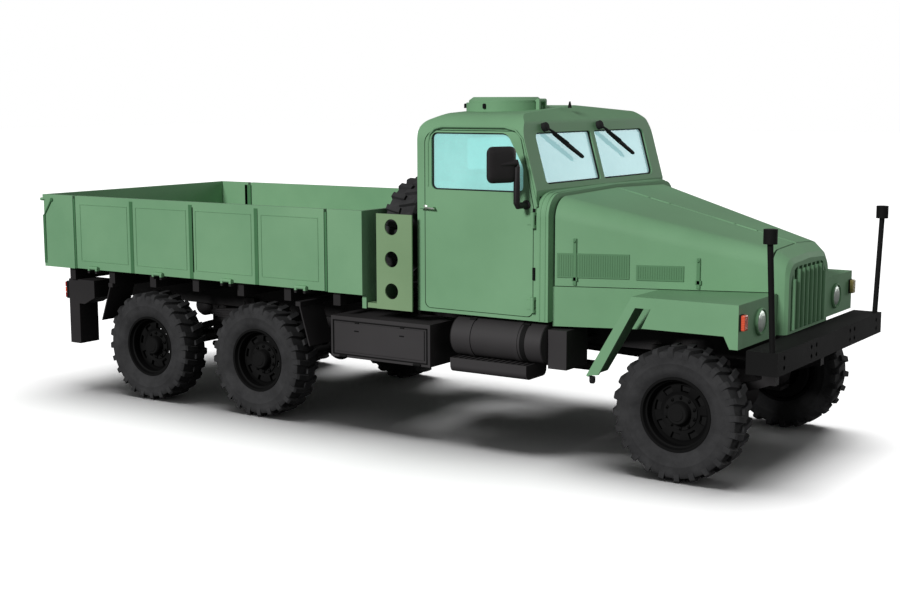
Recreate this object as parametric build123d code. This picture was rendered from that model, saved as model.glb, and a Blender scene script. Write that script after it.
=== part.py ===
"""Bonneted six-wheel cargo truck at full size, in millimetres: +X forward, +Y to its left, +Z up, ground at zero."""
from build123d import *
import math
import os

os.makedirs("parts", exist_ok=True)

# Layout along the truck. Distances called back are measured rearward from the front axle, ahead forward from it.
overall_length = 7030
front_overhang = 721
wheelbase = 3800
bogie_spacing = 1250
tyre_radius = 475
tyre_width = 280
wheel_outer_y = 1145

front_axle_x = overall_length / 2 - front_overhang
middle_axle_x = front_axle_x - wheelbase
rear_axle_x = middle_axle_x - bogie_spacing
wheel_y = wheel_outer_y - tyre_width / 2
axle_z = tyre_radius

# Clearances and overruns shared by all pieces.
seat_gap = 0.3
panel_gap = 6
overrun = 20

# Ladder frame.
rail_half_width = 430
rail_height = 200
rail_flange = 75
rail_wall = 8
rail_top_z = 980
rail_front_ahead = 500
rail_rear_back = 6190
cross_height = 60
cross_width = 90
rail_bottom_z = rail_top_z - rail_height

# Cab.
cab_half_width = 1050
cab_rear_back = 2200
cab_front_back = 1050
screen_foot_back = 1150
screen_foot_z = 1975
brow_back = 1290
brow_z = 2465
cab_floor_z = 1020
door_top_z = 2425
belt_z = 1955
roof_shoulder_drop = 130
roof_rear_flat_back = 1880
roof_front_flat_back = 1420
roof_crown_z = 2580
roof_shoulder_z = roof_crown_z - roof_shoulder_drop
roof_corner_radius = 210
roof_rise = 8
cab_wall = 45
cab_skin = 30
floor_thickness = 30
side_window_rear_back = 2070
side_window_top_front_back = 1400
side_window_front_back = 1262
side_window_front_z = 2232
side_window_top_z = 2384
side_window_radius = 90
door_rear_margin = 22
door_sill_z = 1045
door_corner_z = 1860
door_top_front_back = 1290
door_radius = 100
pane_thickness = 6
screen_half_width = 880
screen_pillar_width = 60
screen_low_z = 2010
screen_high_z = 2385
rear_window_half_width = 420
rear_window_low_z = 2060
rear_window_high_z = 2330
door_swing_offset = 24
handle_z = 1815
handle_rear_back = 2150
handle_front_back = 2030
handle_radius = 9
handle_proud = 32
hinge_pin_radius = 8
hinge_barrel_radius = 15
hinge_barrel_length = 70
hinge_lug_length = 22
hinge_leaf_thickness = 8
hinge_leaf_reach = 60

# Cowl and bonnet: each half of the bonnet swings up about a rod along the middle.
cowl_top_z = 1972
cowl_shoulder_radius = 165
bonnet_rear_half_width = 975
bonnet_rear_top_z = 1950
bonnet_front_ahead = 420
bonnet_front_half_width = 463
bonnet_front_top_z = 1592
bonnet_crown = 22
louvre_pitch = 35
louvre_width = 14
louvre_proud = 6
rear_louvre_rear_back = 1017
rear_louvre_front_back = 527
rear_louvre_low_z = 1350
rear_louvre_top_z = 1520
front_louvre_rear_back = 473
front_louvre_front_back = 160
front_louvre_low_z = 1345
front_louvre_top_z = 1447
bonnet_rear_radius = 160
bonnet_front_radius = 120
bonnet_skin = 16
bonnet_bottom_z = 985
fender_top_z = 1277
bonnet_gap = 12
bonnet_rod_radius = 7
bonnet_barrel_radius = 13
bonnet_barrel_length = 160
nose_ahead = 500
nose_half_width = 425
nose_top_z = 1530
nose_tip_ahead = 522
nose_tip_half_width = 400
nose_tip_top_z = 1492
grille_half_width = 352
grille_top_z = 1452
grille_low_z = 1000
grille_radius = 130
slat_count = 8
slat_width = 26
slat_depth = 40
radiator_depth = 60
radiator_half_width = 380
radiator_top_z = 1430

# Fenders, lamps and bumper.
fender_half_width = 1150
fender_front_ahead = 460
fender_rear_back = 327
fender_skin = 18
fender_tail_back = 676
fender_tail_z = 686
skirt_z = 1060
fender_toe_z = 976
toe_back_ahead = 400
toe_top_ahead = 358
arch_rear_back = 249
arch_peak_back = 180
arch_peak_z = 1200
band_top_back = 300
band_foot_back = 581
band_foot_z = 697
headlamp_y = 767
headlamp_z = 1121
headlamp_radius = 96
headlamp_depth = 60
headlamp_proud = 22
lens_flat_share = 0.8
indicator_y = 1105
indicator_z = 1157
indicator_width = 60
indicator_height = 110
indicator_depth = 40
bumper_half_width = 1104
bumper_top_z = 971
bumper_low_z = 812
bumper_rear_ahead = 500
bumper_plate = 12
bumper_lip = 60
marker_base_y = 1080
marker_top_y = 1175
marker_top_z = 1700
marker_radius = 20
marker_cap_radius = 46
marker_cap_height = 96
marker_inset = 46

# Cargo bed.
bed_half_width = 1195
bed_front_back = 2627
bed_rear_back = 6273
bed_low_z = 1120
bed_top_z = 1777
board_thickness = 40
board_sheet = 28
bed_floor_z = 1160
bearer_height = 110
bearer_width = 70
bearer_count = 7
bed_sill_height = 55
bed_rail_height = 45
front_post_back = 2984
rear_post_back = 5860
post_pitch = 719
post_width = 34
board_swing_offset = 20
ear_drop = 24
latch_proud = 36
latch_radius = 14

# Side equipment.
box_front_back = 2055
box_rear_back = 3017
box_low_z = 590
box_top_z = 920
equipment_outer_y = 1100
box_depth = 420
lid_margin = 50
lid_proud = 10
tank_front_back = 1080
tank_rear_back = 1870
tank_radius = 150
tank_strap_width = 40
tank_strap_thickness = 6
step_front_back = 1200
step_low_z = 580
step_high_z = 690
battery_front_back = 920
battery_low_z = 670
battery_top_z = 960
arm_width = 50
arm_height = 36

# Spare wheel and its carrier.
spare_back = 2440
spare_y = -560
spare_z = 1540
carrier_front_back = 2185
carrier_rear_back = 2520
carrier_low_z = 1020
carrier_top_z = 1760
carrier_thickness = 12
carrier_half_width = 1150
carrier_hole_radius = 62
carrier_hole_back = 2378
carrier_hole_pitch = 248
carrier_first_hole_z = 1163
carrier_beam = 38
carrier_beam_depth = 112
carrier_post_back = 2612
carrier_post_thickness = 22
carrier_post_half_width = 60

# Wheels: twenty-inch wheel with a deep dish.
wheel_sides = 24
rim_seat_radius = 254
rim_flange_radius = 264
rim_half_width = 112
rim_flange_width = 12
rim_well_radius = 240
dish_thickness = 12
hub_outer_radius = 82
hub_reach = 92
hub_inner_reach = 30
spindle_radius = 36
spindle_clearance = 0.6
tyre_bead_half_width = 94
tyre_shoulder_radius = 428
tyre_wall_radius = 350
tread_half_width = 118
lug_height = 22
lug_length = 64
lug_root = 8
lug_lap = 10
lug_outer_y = 110
lug_slant_deg = 14

# Axles, knuckles and springs.
axle_radius = 58
diff_radius = 165
diff_half_length = 150
kingpin_y = 780
kingpin_radius = 18
kingpin_length = 36
ball_radius = 112
knuckle_plate = 26
knuckle_width = 120
knuckle_gap = 3
kingpin_clearance = 0.3
stub_flange_y = 880
spring_width = 70
spring_half_length = 480
spring_thickness = 60
spring_arch = 110
bogie_half_length = 625
trunnion_radius = 60
shaft_radius = 38
transfer_front_back = 1750
transfer_rear_back = 2350

# Cab fittings.
wheel_centre_back = 1480
wheel_centre_y = 420
wheel_centre_z = 1960
steering_radius = 205
steering_tube = 24
column_foot_back = 1125
column_foot_z = 1520
column_radius = 24
hub_length = 50
dash_rear_back = 1290
dash_low_z = 1700
dash_top_z = 1890
dash_side_gap = 110
seat_front_back = 1560
seat_rear_back = 2060
seat_low_z = 1200
seat_top_z = 1420
seat_back_top_z = 1900
seat_back_thickness = 110
seat_base_inset = 60
driver_half_width = 250
bench_half_width = 400
driver_seat_y = 430
bench_y = -430
engine_front_ahead = 60
engine_rear_back = 900
engine_half_width = 330
engine_top_z = 1480
engine_low_z = 860
mirror_width = 250
mirror_height = 255
mirror_thickness = 44
mirror_back = 1290
mirror_reach = 250
far_mirror_set_back = 120
mirror_z = 2168
mirror_turn_deg = 24
mirror_arm_radius = 26
mirror_arm_back = 1232
mirror_arm_reach = 140
mirror_foot_z = 1870
mirror_base_radius = 34
mirror_base_thickness = 14
wiper_height = 250
wiper_run = 467
right_wiper_pivot_y = -737
left_wiper_pivot_y = 119
wiper_radius = 11
wiper_box = 44
hatch_back = 1800
hatch_y = -420
hatch_radius = 285
hatch_ring_radius = 305
hatch_hole_radius = 255
hatch_ring_rise = 23
hatch_lid_height = 42
hatch_rim_height = 16
hatch_crown_radius = 250
exhaust_radius = 40
exhaust_y = -560
exhaust_z = 640
silencer_radius = 85
coupling_plate = 24
coupling_half_width = 110
coupling_reach = 58
coupling_z = 880
coupling_hole_radius = 21
coupling_thickness = 30
coupling_tongue_half_width = 45
flap_thickness = 12
rear_flap_top_back = 5476
rear_flap_foot_back = 5602
rear_flap_foot_z = 667
front_flap_top_back = 3315
front_flap_foot_back = 3208
front_flap_foot_z = 657
flap_inner_y = 860
flap_outer_y = 1150
hanger_low_z = 420
hanger_box_low_z = 790
hanger_front_back = 5720
hanger_rear_back = 6050
hanger_inner_y = 900
hanger_outer_y = 1120
hanger_post_width = 130
hanger_chamfer = 130
lamp_depth = 100
lamp_low_z = 820
lamp_top_z = 980
lamp_width = 150


def behind(distance):
    return front_axle_x - distance


def ahead(distance):
    return front_axle_x + distance


def block(x_low, x_high, y_low, y_high, z_low, z_high):
    """Rectangular bar between two corners."""
    centre = Pos((x_low + x_high) / 2, (y_low + y_high) / 2, (z_low + z_high) / 2)
    return centre * Box(x_high - x_low, y_high - y_low, z_high - z_low)


def outline(corners):
    """Flat face in XY from (u, v) or (u, v, radius) corners, the radius rounding that corner."""
    face = make_face(Polyline(*[(c[0], c[1]) for c in corners], close=True)).face()
    for corner in corners:
        if len(corner) == 3:
            near = face.vertices().sort_by_distance(Vector(corner[0], corner[1]))[0]
            face = face.fillet_2d(corner[2], [near])
    return face


def side_solid(corners, y_low, y_high):
    """Outline of (x, z) corners pushed from one Y to another."""
    return extrude(Pos(0, y_low, 0) * (Plane.XZ * outline(corners)), amount=y_high - y_low, dir=(0, 1, 0))


def front_solid(corners, x_low, x_high):
    """Outline of (y, z) corners pushed from one X to another."""
    return extrude(Pos(x_low, 0, 0) * (Plane.YZ * outline(corners)), amount=x_high - x_low, dir=(1, 0, 0))


def plan_solid(corners, z_low, z_high):
    """Outline of (x, y) corners pushed from one Z to another."""
    return extrude(Pos(0, 0, z_low) * outline(corners), amount=z_high - z_low, dir=(0, 0, 1))


def rod(start, end, radius):
    """Round bar from one point to another."""
    run = Vector(end) - Vector(start)
    base = Plane(origin=start, z_dir=run.normalized())
    return extrude(base * Circle(radius), amount=run.length)


def left_of(solid):
    """The same piece on the other side of the truck."""
    return mirror(solid, about=Plane.XZ)


def polygon_ring(profile, sides):
    """Ring about the Y axis with flat facets, from a closed profile of (y, radius) points."""
    turn = 2 * math.pi / sides
    grow = 1 / math.cos(turn / 2)

    def corner(station, step):
        y, radius = profile[station % len(profile)]
        angle = (step + 0.5) * turn
        return (radius * grow * math.sin(angle), y, radius * grow * math.cos(angle))

    faces = []
    for step in range(sides):
        for station in range(len(profile)):
            quad = [corner(station, step), corner(station + 1, step)]
            quad += [corner(station + 1, step + 1), corner(station, step + 1)]
            faces.append(Face(Wire.make_polygon([Vector(p) for p in quad], close=True)))
    solid = Solid(Shell(faces))
    return solid if solid.volume > 0 else Solid(solid.wrapped.Reversed())


def save(name, *solids):
    """One STEP file for one node."""
    pieces = [s for solid in solids for s in solid.solids()]
    shape = pieces[0] if len(pieces) == 1 else Compound(children=pieces)
    export_step(shape, os.path.join("parts", name + ".step"))


# Ladder frame: two channels open inward, tied by cross members.
rail_rear_x = behind(rail_rear_back)
rail_front_x = ahead(rail_front_ahead)
channel = [
    (rail_half_width, rail_bottom_z),
    (rail_half_width, rail_top_z),
    (rail_half_width - rail_flange, rail_top_z),
    (rail_half_width - rail_flange, rail_top_z - rail_wall),
    (rail_half_width - rail_wall, rail_top_z - rail_wall),
    (rail_half_width - rail_wall, rail_bottom_z + rail_wall),
    (rail_half_width - rail_flange, rail_bottom_z + rail_wall),
    (rail_half_width - rail_flange, rail_bottom_z),
]
left_rail = front_solid(channel, rail_rear_x, rail_front_x)
frame = left_rail + left_of(left_rail)
cross_back_shares = [0.075, 0.215, 0.345, 0.47, 0.60, 0.80, 0.985]
cross_xs = [rail_front_x + (rail_rear_x - rail_front_x) * share for share in cross_back_shares]
cross_z = engine_low_z - cross_height
for x in cross_xs:
    y = rail_half_width - rail_wall
    frame += block(x - cross_width / 2, x + cross_width / 2, -y, y, cross_z, engine_low_z)
save("frame_rails", frame)

# Cab shell: the outer envelope less the inner one, later split into its panels.
cab_rear_x = behind(cab_rear_back)
cab_front_x = behind(cab_front_back)
screen_foot_x = behind(screen_foot_back)
brow_x = behind(brow_back)


def cab_envelope(inset_side, inset_end, inset_roof, low_z):
    """Cab's rounded form, moved in by the thickness of its walls."""
    top = roof_crown_z - inset_roof
    side = side_solid(
        [
            (cab_rear_x + inset_end, low_z),
            (cab_rear_x + inset_end, roof_shoulder_z - inset_roof, roof_corner_radius / 2),
            (behind(roof_rear_flat_back), top + roof_rise, roof_corner_radius),
            (behind(roof_front_flat_back), top + roof_rise, roof_corner_radius / 2),
            (brow_x - inset_end, brow_z - inset_roof, roof_corner_radius / 4),
            (screen_foot_x - inset_end, screen_foot_z),
            (screen_foot_x - inset_end, low_z),
        ],
        -cab_half_width,
        cab_half_width,
    )
    half = cab_half_width - inset_side
    front = front_solid(
        [
            (-half, low_z),
            (-half, top - (roof_crown_z - roof_shoulder_z) / 2, roof_corner_radius - inset_roof),
            (0, top),
            (half, top - (roof_crown_z - roof_shoulder_z) / 2, roof_corner_radius - inset_roof),
            (half, low_z),
        ],
        cab_rear_x,
        cab_front_x,
    )
    return side & front


cab_outer = cab_envelope(0, 0, 0, cab_floor_z)
cab_inner = cab_envelope(cab_wall, cab_wall, cab_skin, cab_floor_z - overrun)

def cab_panel(region):
    """The part of the cab's walls that lies in one region."""
    return (cab_outer & region) - cab_inner


wide = cab_half_width + overrun
upper = block(cab_rear_x - overrun, cab_front_x, -wide, wide, door_top_z, roof_crown_z + overrun)
rear_part = block(
    cab_rear_x - overrun,
    cab_rear_x + cab_wall,
    -wide,
    wide,
    cab_floor_z - overrun,
    door_top_z,
)
lower = block(cab_rear_x + cab_wall, cab_front_x, -wide, wide, cab_floor_z - overrun, door_top_z)
cab_roof = cab_panel(upper)
rear_wall = cab_panel(rear_part)
cab_frame = cab_panel(lower)

# Rear wall with its window.
rear_window = [
    (-rear_window_half_width, rear_window_low_z, side_window_radius / 2),
    (-rear_window_half_width, rear_window_high_z, side_window_radius / 2),
    (rear_window_half_width, rear_window_high_z, side_window_radius / 2),
    (rear_window_half_width, rear_window_low_z, side_window_radius / 2),
]
rear_wall -= front_solid(rear_window, cab_rear_x - overrun, cab_rear_x + cab_wall + overrun)
rear_pane_x = cab_rear_x + cab_wall / 2


def shrunk(corners, margin):
    """Outline drawn in towards its middle by one margin."""
    mid_u = sum(c[0] for c in corners) / len(corners)
    mid_v = sum(c[1] for c in corners) / len(corners)
    moved = []
    for c in corners:
        u = c[0] - math.copysign(margin, c[0] - mid_u)
        v = c[1] - math.copysign(margin, c[1] - mid_v)
        moved.append((u, v) + tuple(c[2:]))
    return moved


rear_pane = front_solid(shrunk(rear_window, seat_gap), rear_pane_x, rear_pane_x + pane_thickness)
save("cab_rear_wall", rear_wall)

# Doors: each fills its opening with a panel gap all round, its window cut through.
door_rear_x = cab_rear_x + door_rear_margin + cab_wall
door_outline = [
    (door_rear_x, door_sill_z, door_radius / 2),
    (door_rear_x, door_top_z - cab_wall / 2, door_radius),
    (behind(door_top_front_back), door_top_z - cab_wall / 2, door_radius),
    (screen_foot_x - door_rear_margin, door_corner_z),
    (screen_foot_x - door_rear_margin, door_sill_z, door_radius / 2),
]
window_outline = [
    (behind(side_window_rear_back), belt_z, side_window_radius / 2),
    (behind(side_window_rear_back), side_window_top_z, side_window_radius / 2),
    (behind(side_window_top_front_back), side_window_top_z, side_window_radius),
    (behind(side_window_front_back), side_window_front_z - side_window_radius, side_window_radius),
    (behind(side_window_front_back), belt_z, side_window_radius / 2),
]
door_inner_y = cab_half_width - cab_wall
door_cut = side_solid(door_outline, -wide, -door_inner_y + overrun)
door_blank = side_solid(shrunk(door_outline, panel_gap), -wide, -door_inner_y)
window_cut = side_solid(window_outline, -wide, -door_inner_y + overrun)
door_panel = cab_panel(door_blank) - window_cut
cab_frame = cab_frame - door_cut - left_of(door_cut)
pane_y = cab_half_width - cab_wall / 2
door_pane = side_solid(shrunk(window_outline, seat_gap), -pane_y, -pane_y + pane_thickness)

# Door hinges: barrels outside the front edge, on pins held by lugs on the cab.
hinge_x = screen_foot_x - door_rear_margin + panel_gap
hinge_y = -(cab_half_width + door_swing_offset)
hinge_shares = [0.12, 0.88]
hinge_zs = [door_sill_z + (door_corner_z - door_sill_z) * share for share in hinge_shares]
door_hinges, cab_lugs = [], []
leaf_y = -cab_half_width - hinge_leaf_thickness
for z in hinge_zs:
    low, high = z - hinge_barrel_length / 2, z + hinge_barrel_length / 2
    leaf = block(hinge_x - hinge_leaf_reach, hinge_x, leaf_y, -cab_half_width, low, high)
    web = block(hinge_x - hinge_leaf_thickness, hinge_x, hinge_y, -cab_half_width, low, high)
    barrel = rod((hinge_x, hinge_y, low), (hinge_x, hinge_y, high), hinge_barrel_radius)
    bore = rod(
        (hinge_x, hinge_y, low - overrun),
        (hinge_x, hinge_y, high + overrun),
        hinge_pin_radius + seat_gap,
    )
    door_hinges.append((leaf + web + barrel) - bore)
    pin_low, pin_high = low - seat_gap - hinge_lug_length, high + seat_gap + hinge_lug_length
    lug = rod((hinge_x, hinge_y, pin_low), (hinge_x, hinge_y, pin_high), hinge_pin_radius)
    for lug_low in (pin_low, high + seat_gap):
        lug_high = lug_low + hinge_lug_length
        lug += rod((hinge_x, hinge_y, lug_low), (hinge_x, hinge_y, lug_high), hinge_barrel_radius)
        foot_y = -cab_half_width + overrun
        lug += block(hinge_x, screen_foot_x, hinge_y, foot_y, lug_low, lug_high)
    cab_lugs.append(lug)
handle_y = -(cab_half_width + handle_proud)
handle = rod(
    (behind(handle_rear_back), handle_y, handle_z),
    (behind(handle_front_back), handle_y, handle_z),
    handle_radius,
)
handle_foot_x = behind(handle_front_back) - handle_radius
handle += rod(
    (handle_foot_x, handle_y, handle_z),
    (handle_foot_x, -cab_half_width + overrun, handle_z),
    handle_radius,
)
door = door_panel + handle
for piece in door_hinges:
    door += piece
save("door_right", door)
save("door_left", left_of(door))
save("door_glass_right", door_pane)
save("door_glass_left", left_of(door_pane))

# Windscreen: two flat panes either side of a pillar, in the sloping front of the cab frame.
slope = (brow_back - screen_foot_back) / (brow_z - screen_foot_z)


def screen_x(z, inset):
    return screen_foot_x - slope * (z - screen_foot_z) - inset


right_pane_outline = [
    (-screen_half_width, screen_low_z, side_window_radius / 2),
    (-screen_half_width, screen_high_z, side_window_radius / 2),
    (-screen_pillar_width / 2, screen_high_z, side_window_radius / 4),
    (-screen_pillar_width / 2, screen_low_z, side_window_radius / 4),
]
screen_cut = front_solid(right_pane_outline, brow_x - cab_wall - overrun, screen_foot_x + overrun)
cab_frame = cab_frame - screen_cut - left_of(screen_cut)
footwell = block(
    screen_foot_x - cab_wall - overrun,
    screen_foot_x + overrun,
    -door_inner_y,
    door_inner_y,
    cab_floor_z - overrun,
    screen_foot_z - cab_wall,
)
cab_frame -= footwell
pane_slab = side_solid(
    [
        (screen_x(screen_low_z - overrun, cab_wall / 2), screen_low_z - overrun),
        (screen_x(screen_high_z + overrun, cab_wall / 2), screen_high_z + overrun),
        (screen_x(screen_high_z + overrun, cab_wall / 2) - pane_thickness, screen_high_z + overrun),
        (screen_x(screen_low_z - overrun, cab_wall / 2) - pane_thickness, screen_low_z - overrun),
    ],
    -screen_half_width,
    screen_half_width,
)
pane_plug = front_solid(
    shrunk(right_pane_outline, seat_gap),
    brow_x - cab_wall - overrun,
    screen_foot_x + overrun,
)
right_pane = pane_slab & pane_plug
save("fixed_glass", right_pane, left_of(right_pane), rear_pane)
for lug in cab_lugs:
    cab_frame = cab_frame + lug + left_of(lug)
save("cab_frame", cab_frame)

# Roof with its round hatch: a low ring carries a domed lid hinged at its front.
hatch_x = behind(hatch_back)
hatch_ring_top_z = roof_crown_z + hatch_ring_rise
hatch_top_z = hatch_ring_top_z + hatch_lid_height
ring_foot_z = roof_crown_z - cab_wall
hatch_ring = rod((hatch_x, hatch_y, ring_foot_z), (hatch_x, hatch_y, hatch_ring_top_z), hatch_ring_radius)
hatch_hole = rod(
    (hatch_x, hatch_y, roof_shoulder_z - overrun),
    (hatch_x, hatch_y, hatch_top_z),
    hatch_hole_radius,
)
hatch_pin_x = hatch_x + hatch_ring_radius + hinge_barrel_radius
hatch_pin_z = hatch_ring_top_z + hinge_barrel_radius
hatch_barrel_half = hinge_barrel_length / 2
cab_roof = cab_roof + hatch_ring - hatch_hole
lug_outer = hatch_barrel_half + seat_gap + hinge_lug_length
for side in (-1, 1):
    near_y = hatch_y + side * (hatch_barrel_half + seat_gap)
    far_y = hatch_y + side * lug_outer
    cab_roof += rod(
        (hatch_pin_x, near_y, hatch_pin_z),
        (hatch_pin_x, far_y, hatch_pin_z),
        hinge_barrel_radius,
    )
    y_pair = sorted((near_y, far_y))
    foot_x = hatch_pin_x + hinge_barrel_radius
    cab_roof += block(hatch_pin_x - hinge_barrel_radius, foot_x, *y_pair, ring_foot_z, hatch_pin_z)
cab_roof += rod(
    (hatch_pin_x, hatch_y - lug_outer, hatch_pin_z),
    (hatch_pin_x, hatch_y + lug_outer, hatch_pin_z),
    hinge_pin_radius,
)
save("cab_roof", cab_roof)

lid_low_z = hatch_ring_top_z + seat_gap
lid_edge_z = lid_low_z + hatch_rim_height
lid = rod((hatch_x, hatch_y, lid_low_z), (hatch_x, hatch_y, lid_edge_z), hatch_radius)
lid_base = Plane(origin=(hatch_x, hatch_y, lid_edge_z))
lid_top = Plane(origin=(hatch_x, hatch_y, hatch_top_z))
lid += loft([lid_base * Circle(hatch_radius), lid_top * Circle(hatch_crown_radius)])
lid += block(
    hatch_x,
    hatch_pin_x,
    hatch_y - hatch_barrel_half,
    hatch_y + hatch_barrel_half,
    lid_low_z + hinge_leaf_thickness,
    lid_edge_z,
)
lid += rod(
    (hatch_pin_x, hatch_y - hatch_barrel_half, hatch_pin_z),
    (hatch_pin_x, hatch_y + hatch_barrel_half, hatch_pin_z),
    hinge_barrel_radius,
)
lid -= rod(
    (hatch_pin_x, hatch_y - lug_outer, hatch_pin_z),
    (hatch_pin_x, hatch_y + lug_outer, hatch_pin_z),
    hinge_pin_radius + seat_gap,
)
save("roof_hatch", lid)

# Floor with the sloping toe-board, and the cowl that closes the cab's front.
floor_half = cab_half_width - cab_wall
floor_rear_x = cab_rear_x + cab_wall
cab_floor = block(
    floor_rear_x,
    screen_foot_x,
    -floor_half,
    floor_half,
    cab_floor_z,
    cab_floor_z + floor_thickness,
)
mount_shares = [0.12, 0.88]
for share in mount_shares:
    x = floor_rear_x + (screen_foot_x - floor_rear_x) * share
    for side in (-1, 1):
        y = side * (rail_half_width - rail_flange / 2)
        half = rail_flange / 2
        cab_floor += block(
            x - cross_width / 2,
            x + cross_width / 2,
            y - half,
            y + half,
            rail_top_z,
            cab_floor_z,
        )
save("cab_floor", cab_floor)


def cowl_form(inset, low_z):
    """Arch of the cowl across the truck."""
    half = cab_half_width - inset
    top = cowl_top_z - inset
    return [
        (-half, low_z),
        (-half, top - bonnet_crown, cowl_shoulder_radius - inset),
        (0, top),
        (half, top - bonnet_crown, cowl_shoulder_radius - inset),
        (half, low_z),
    ]


cowl = front_solid(cowl_form(0, cab_floor_z), screen_foot_x, cab_front_x)
cowl -= front_solid(
    cowl_form(cab_skin, cab_floor_z + floor_thickness),
    screen_foot_x - overrun,
    cab_front_x - cab_skin,
)

# Bonnet: one tapering shell, split into two lids above the fender line and two side aprons below it.
bonnet_front_x = ahead(bonnet_front_ahead)


def bonnet_face(x, half, top, radius, low_z):
    """Section of the bonnet across the truck, rounded at its shoulders and crowned on the middle line."""
    corners = [
        (-half, low_z),
        (-half, top - bonnet_crown, radius),
        (0, top),
        (half, top - bonnet_crown, radius),
        (half, low_z),
    ]
    return Pos(x, 0, 0) * (Plane.YZ * outline(corners))


def bonnet_form(inset, low_z):
    rear = bonnet_face(
        cab_front_x,
        bonnet_rear_half_width - inset,
        bonnet_rear_top_z - inset,
        bonnet_rear_radius - inset,
        low_z,
    )
    front = bonnet_face(
        bonnet_front_x,
        bonnet_front_half_width - inset,
        bonnet_front_top_z - inset,
        bonnet_front_radius - inset,
        low_z,
    )
    return loft([rear, front], ruled=True)


bonnet_shell = bonnet_form(0, bonnet_bottom_z) - bonnet_form(bonnet_skin, bonnet_bottom_z - overrun)
lid_bottom_z = fender_top_z + panel_gap
bonnet_region = block(
    cab_front_x + bonnet_gap,
    bonnet_front_x - bonnet_gap,
    -cab_half_width,
    -bonnet_rod_radius - panel_gap,
    lid_bottom_z,
    roof_crown_z,
)
apron_region = block(
    cab_front_x,
    bonnet_front_x,
    -cab_half_width,
    cab_half_width,
    bonnet_bottom_z,
    fender_top_z,
)
bonnet_sides = bonnet_shell & apron_region
right_lid = bonnet_shell & bonnet_region

# The hinge rod lies along the crown, from the cowl to the nose.
rod_drop = bonnet_skin / 2
rod_rear = Vector(cab_front_x, 0, bonnet_rear_top_z - rod_drop)
rod_front = Vector(bonnet_front_x, 0, bonnet_front_top_z - rod_drop)
rod_way = (rod_front - rod_rear).normalized()
rod_length = (rod_front - rod_rear).length
bonnet_rod = rod(rod_rear, rod_front, bonnet_rod_radius) & block(
    cab_front_x, bonnet_front_x, -cab_half_width, cab_half_width, bonnet_bottom_z, roof_crown_z
)
right_barrel_shares = [0.14, 0.62]
left_barrel_shares = [0.26, 0.74]


def barrel_at(share, grow):
    middle = rod_rear + rod_way * (rod_length * share)
    half = rod_way * (bonnet_barrel_length / 2 + grow)
    return rod(middle - half, middle + half, bonnet_barrel_radius + grow)


def lid_with_barrels(panel, own_shares, other_shares, side):
    """Lid with its own barrels on the rod, and room for the other lid's."""
    for share in own_shares:
        middle = rod_rear + rod_way * (rod_length * share)
        reach = 2 * bonnet_barrel_radius
        plate = block(-bonnet_barrel_length / 2, bonnet_barrel_length / 2, 0, reach, -rod_drop, rod_drop)
        frame_plane = Plane(origin=middle, x_dir=rod_way, z_dir=Vector(-rod_way.Z, 0, rod_way.X))
        leaf = frame_plane * plate
        panel = panel + (leaf if side > 0 else left_of(leaf)) + barrel_at(share, 0)
    for share in other_shares:
        panel -= barrel_at(share, panel_gap)
    overrun_way = rod_way * overrun
    return panel - rod(rod_rear - overrun_way, rod_front + overrun_way, bonnet_rod_radius + seat_gap)


# Louvres: upright pressed ribs in two fields on each lid.
taper = (bonnet_rear_half_width - bonnet_front_half_width) / (bonnet_front_x - cab_front_x)
louvre_table = [
    (rear_louvre_rear_back, rear_louvre_front_back, rear_louvre_low_z, rear_louvre_top_z),
    (front_louvre_rear_back, front_louvre_front_back, front_louvre_low_z, front_louvre_top_z),
]
for rear_back, front_back, low_z, top_z in louvre_table:
    rib_count = round((rear_back - front_back) / louvre_pitch)
    for index in range(rib_count):
        x = behind(rear_back) + louvre_pitch * (index + 0.5)
        surface_y = -bonnet_rear_half_width + taper * (x - cab_front_x)
        rib = block(
            x - louvre_width / 2,
            x + louvre_width / 2,
            surface_y - louvre_proud,
            surface_y + louvre_proud,
            low_z,
            top_z,
        )
        right_lid += rib

save("bonnet_lid_right", lid_with_barrels(right_lid, right_barrel_shares, left_barrel_shares, -1))
save("bonnet_lid_left", lid_with_barrels(left_of(right_lid), left_barrel_shares, right_barrel_shares, 1))
save("bonnet_sides", bonnet_sides)
save("cowl", cowl + bonnet_rod)

# Nose with the arched grille opening, and its upright slats.
nose_form = loft(
    [
        bonnet_face(
            bonnet_front_x,
            bonnet_front_half_width,
            bonnet_front_top_z,
            bonnet_front_radius,
            rail_top_z,
        ),
        bonnet_face(ahead(nose_ahead), nose_half_width, nose_top_z, bonnet_front_radius, rail_top_z),
        bonnet_face(
            ahead(nose_tip_ahead),
            nose_tip_half_width,
            nose_tip_top_z,
            bonnet_front_radius,
            rail_top_z,
        ),
    ],
    ruled=True,
)
grille_outline = [
    (-grille_half_width, grille_low_z),
    (-grille_half_width, grille_top_z, grille_radius),
    (grille_half_width, grille_top_z, grille_radius),
    (grille_half_width, grille_low_z),
]
nose_tip_x = ahead(nose_tip_ahead)
nose = nose_form - front_solid(grille_outline, bonnet_front_x - overrun, nose_tip_x + overrun)
save("nose_shell", nose)

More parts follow.
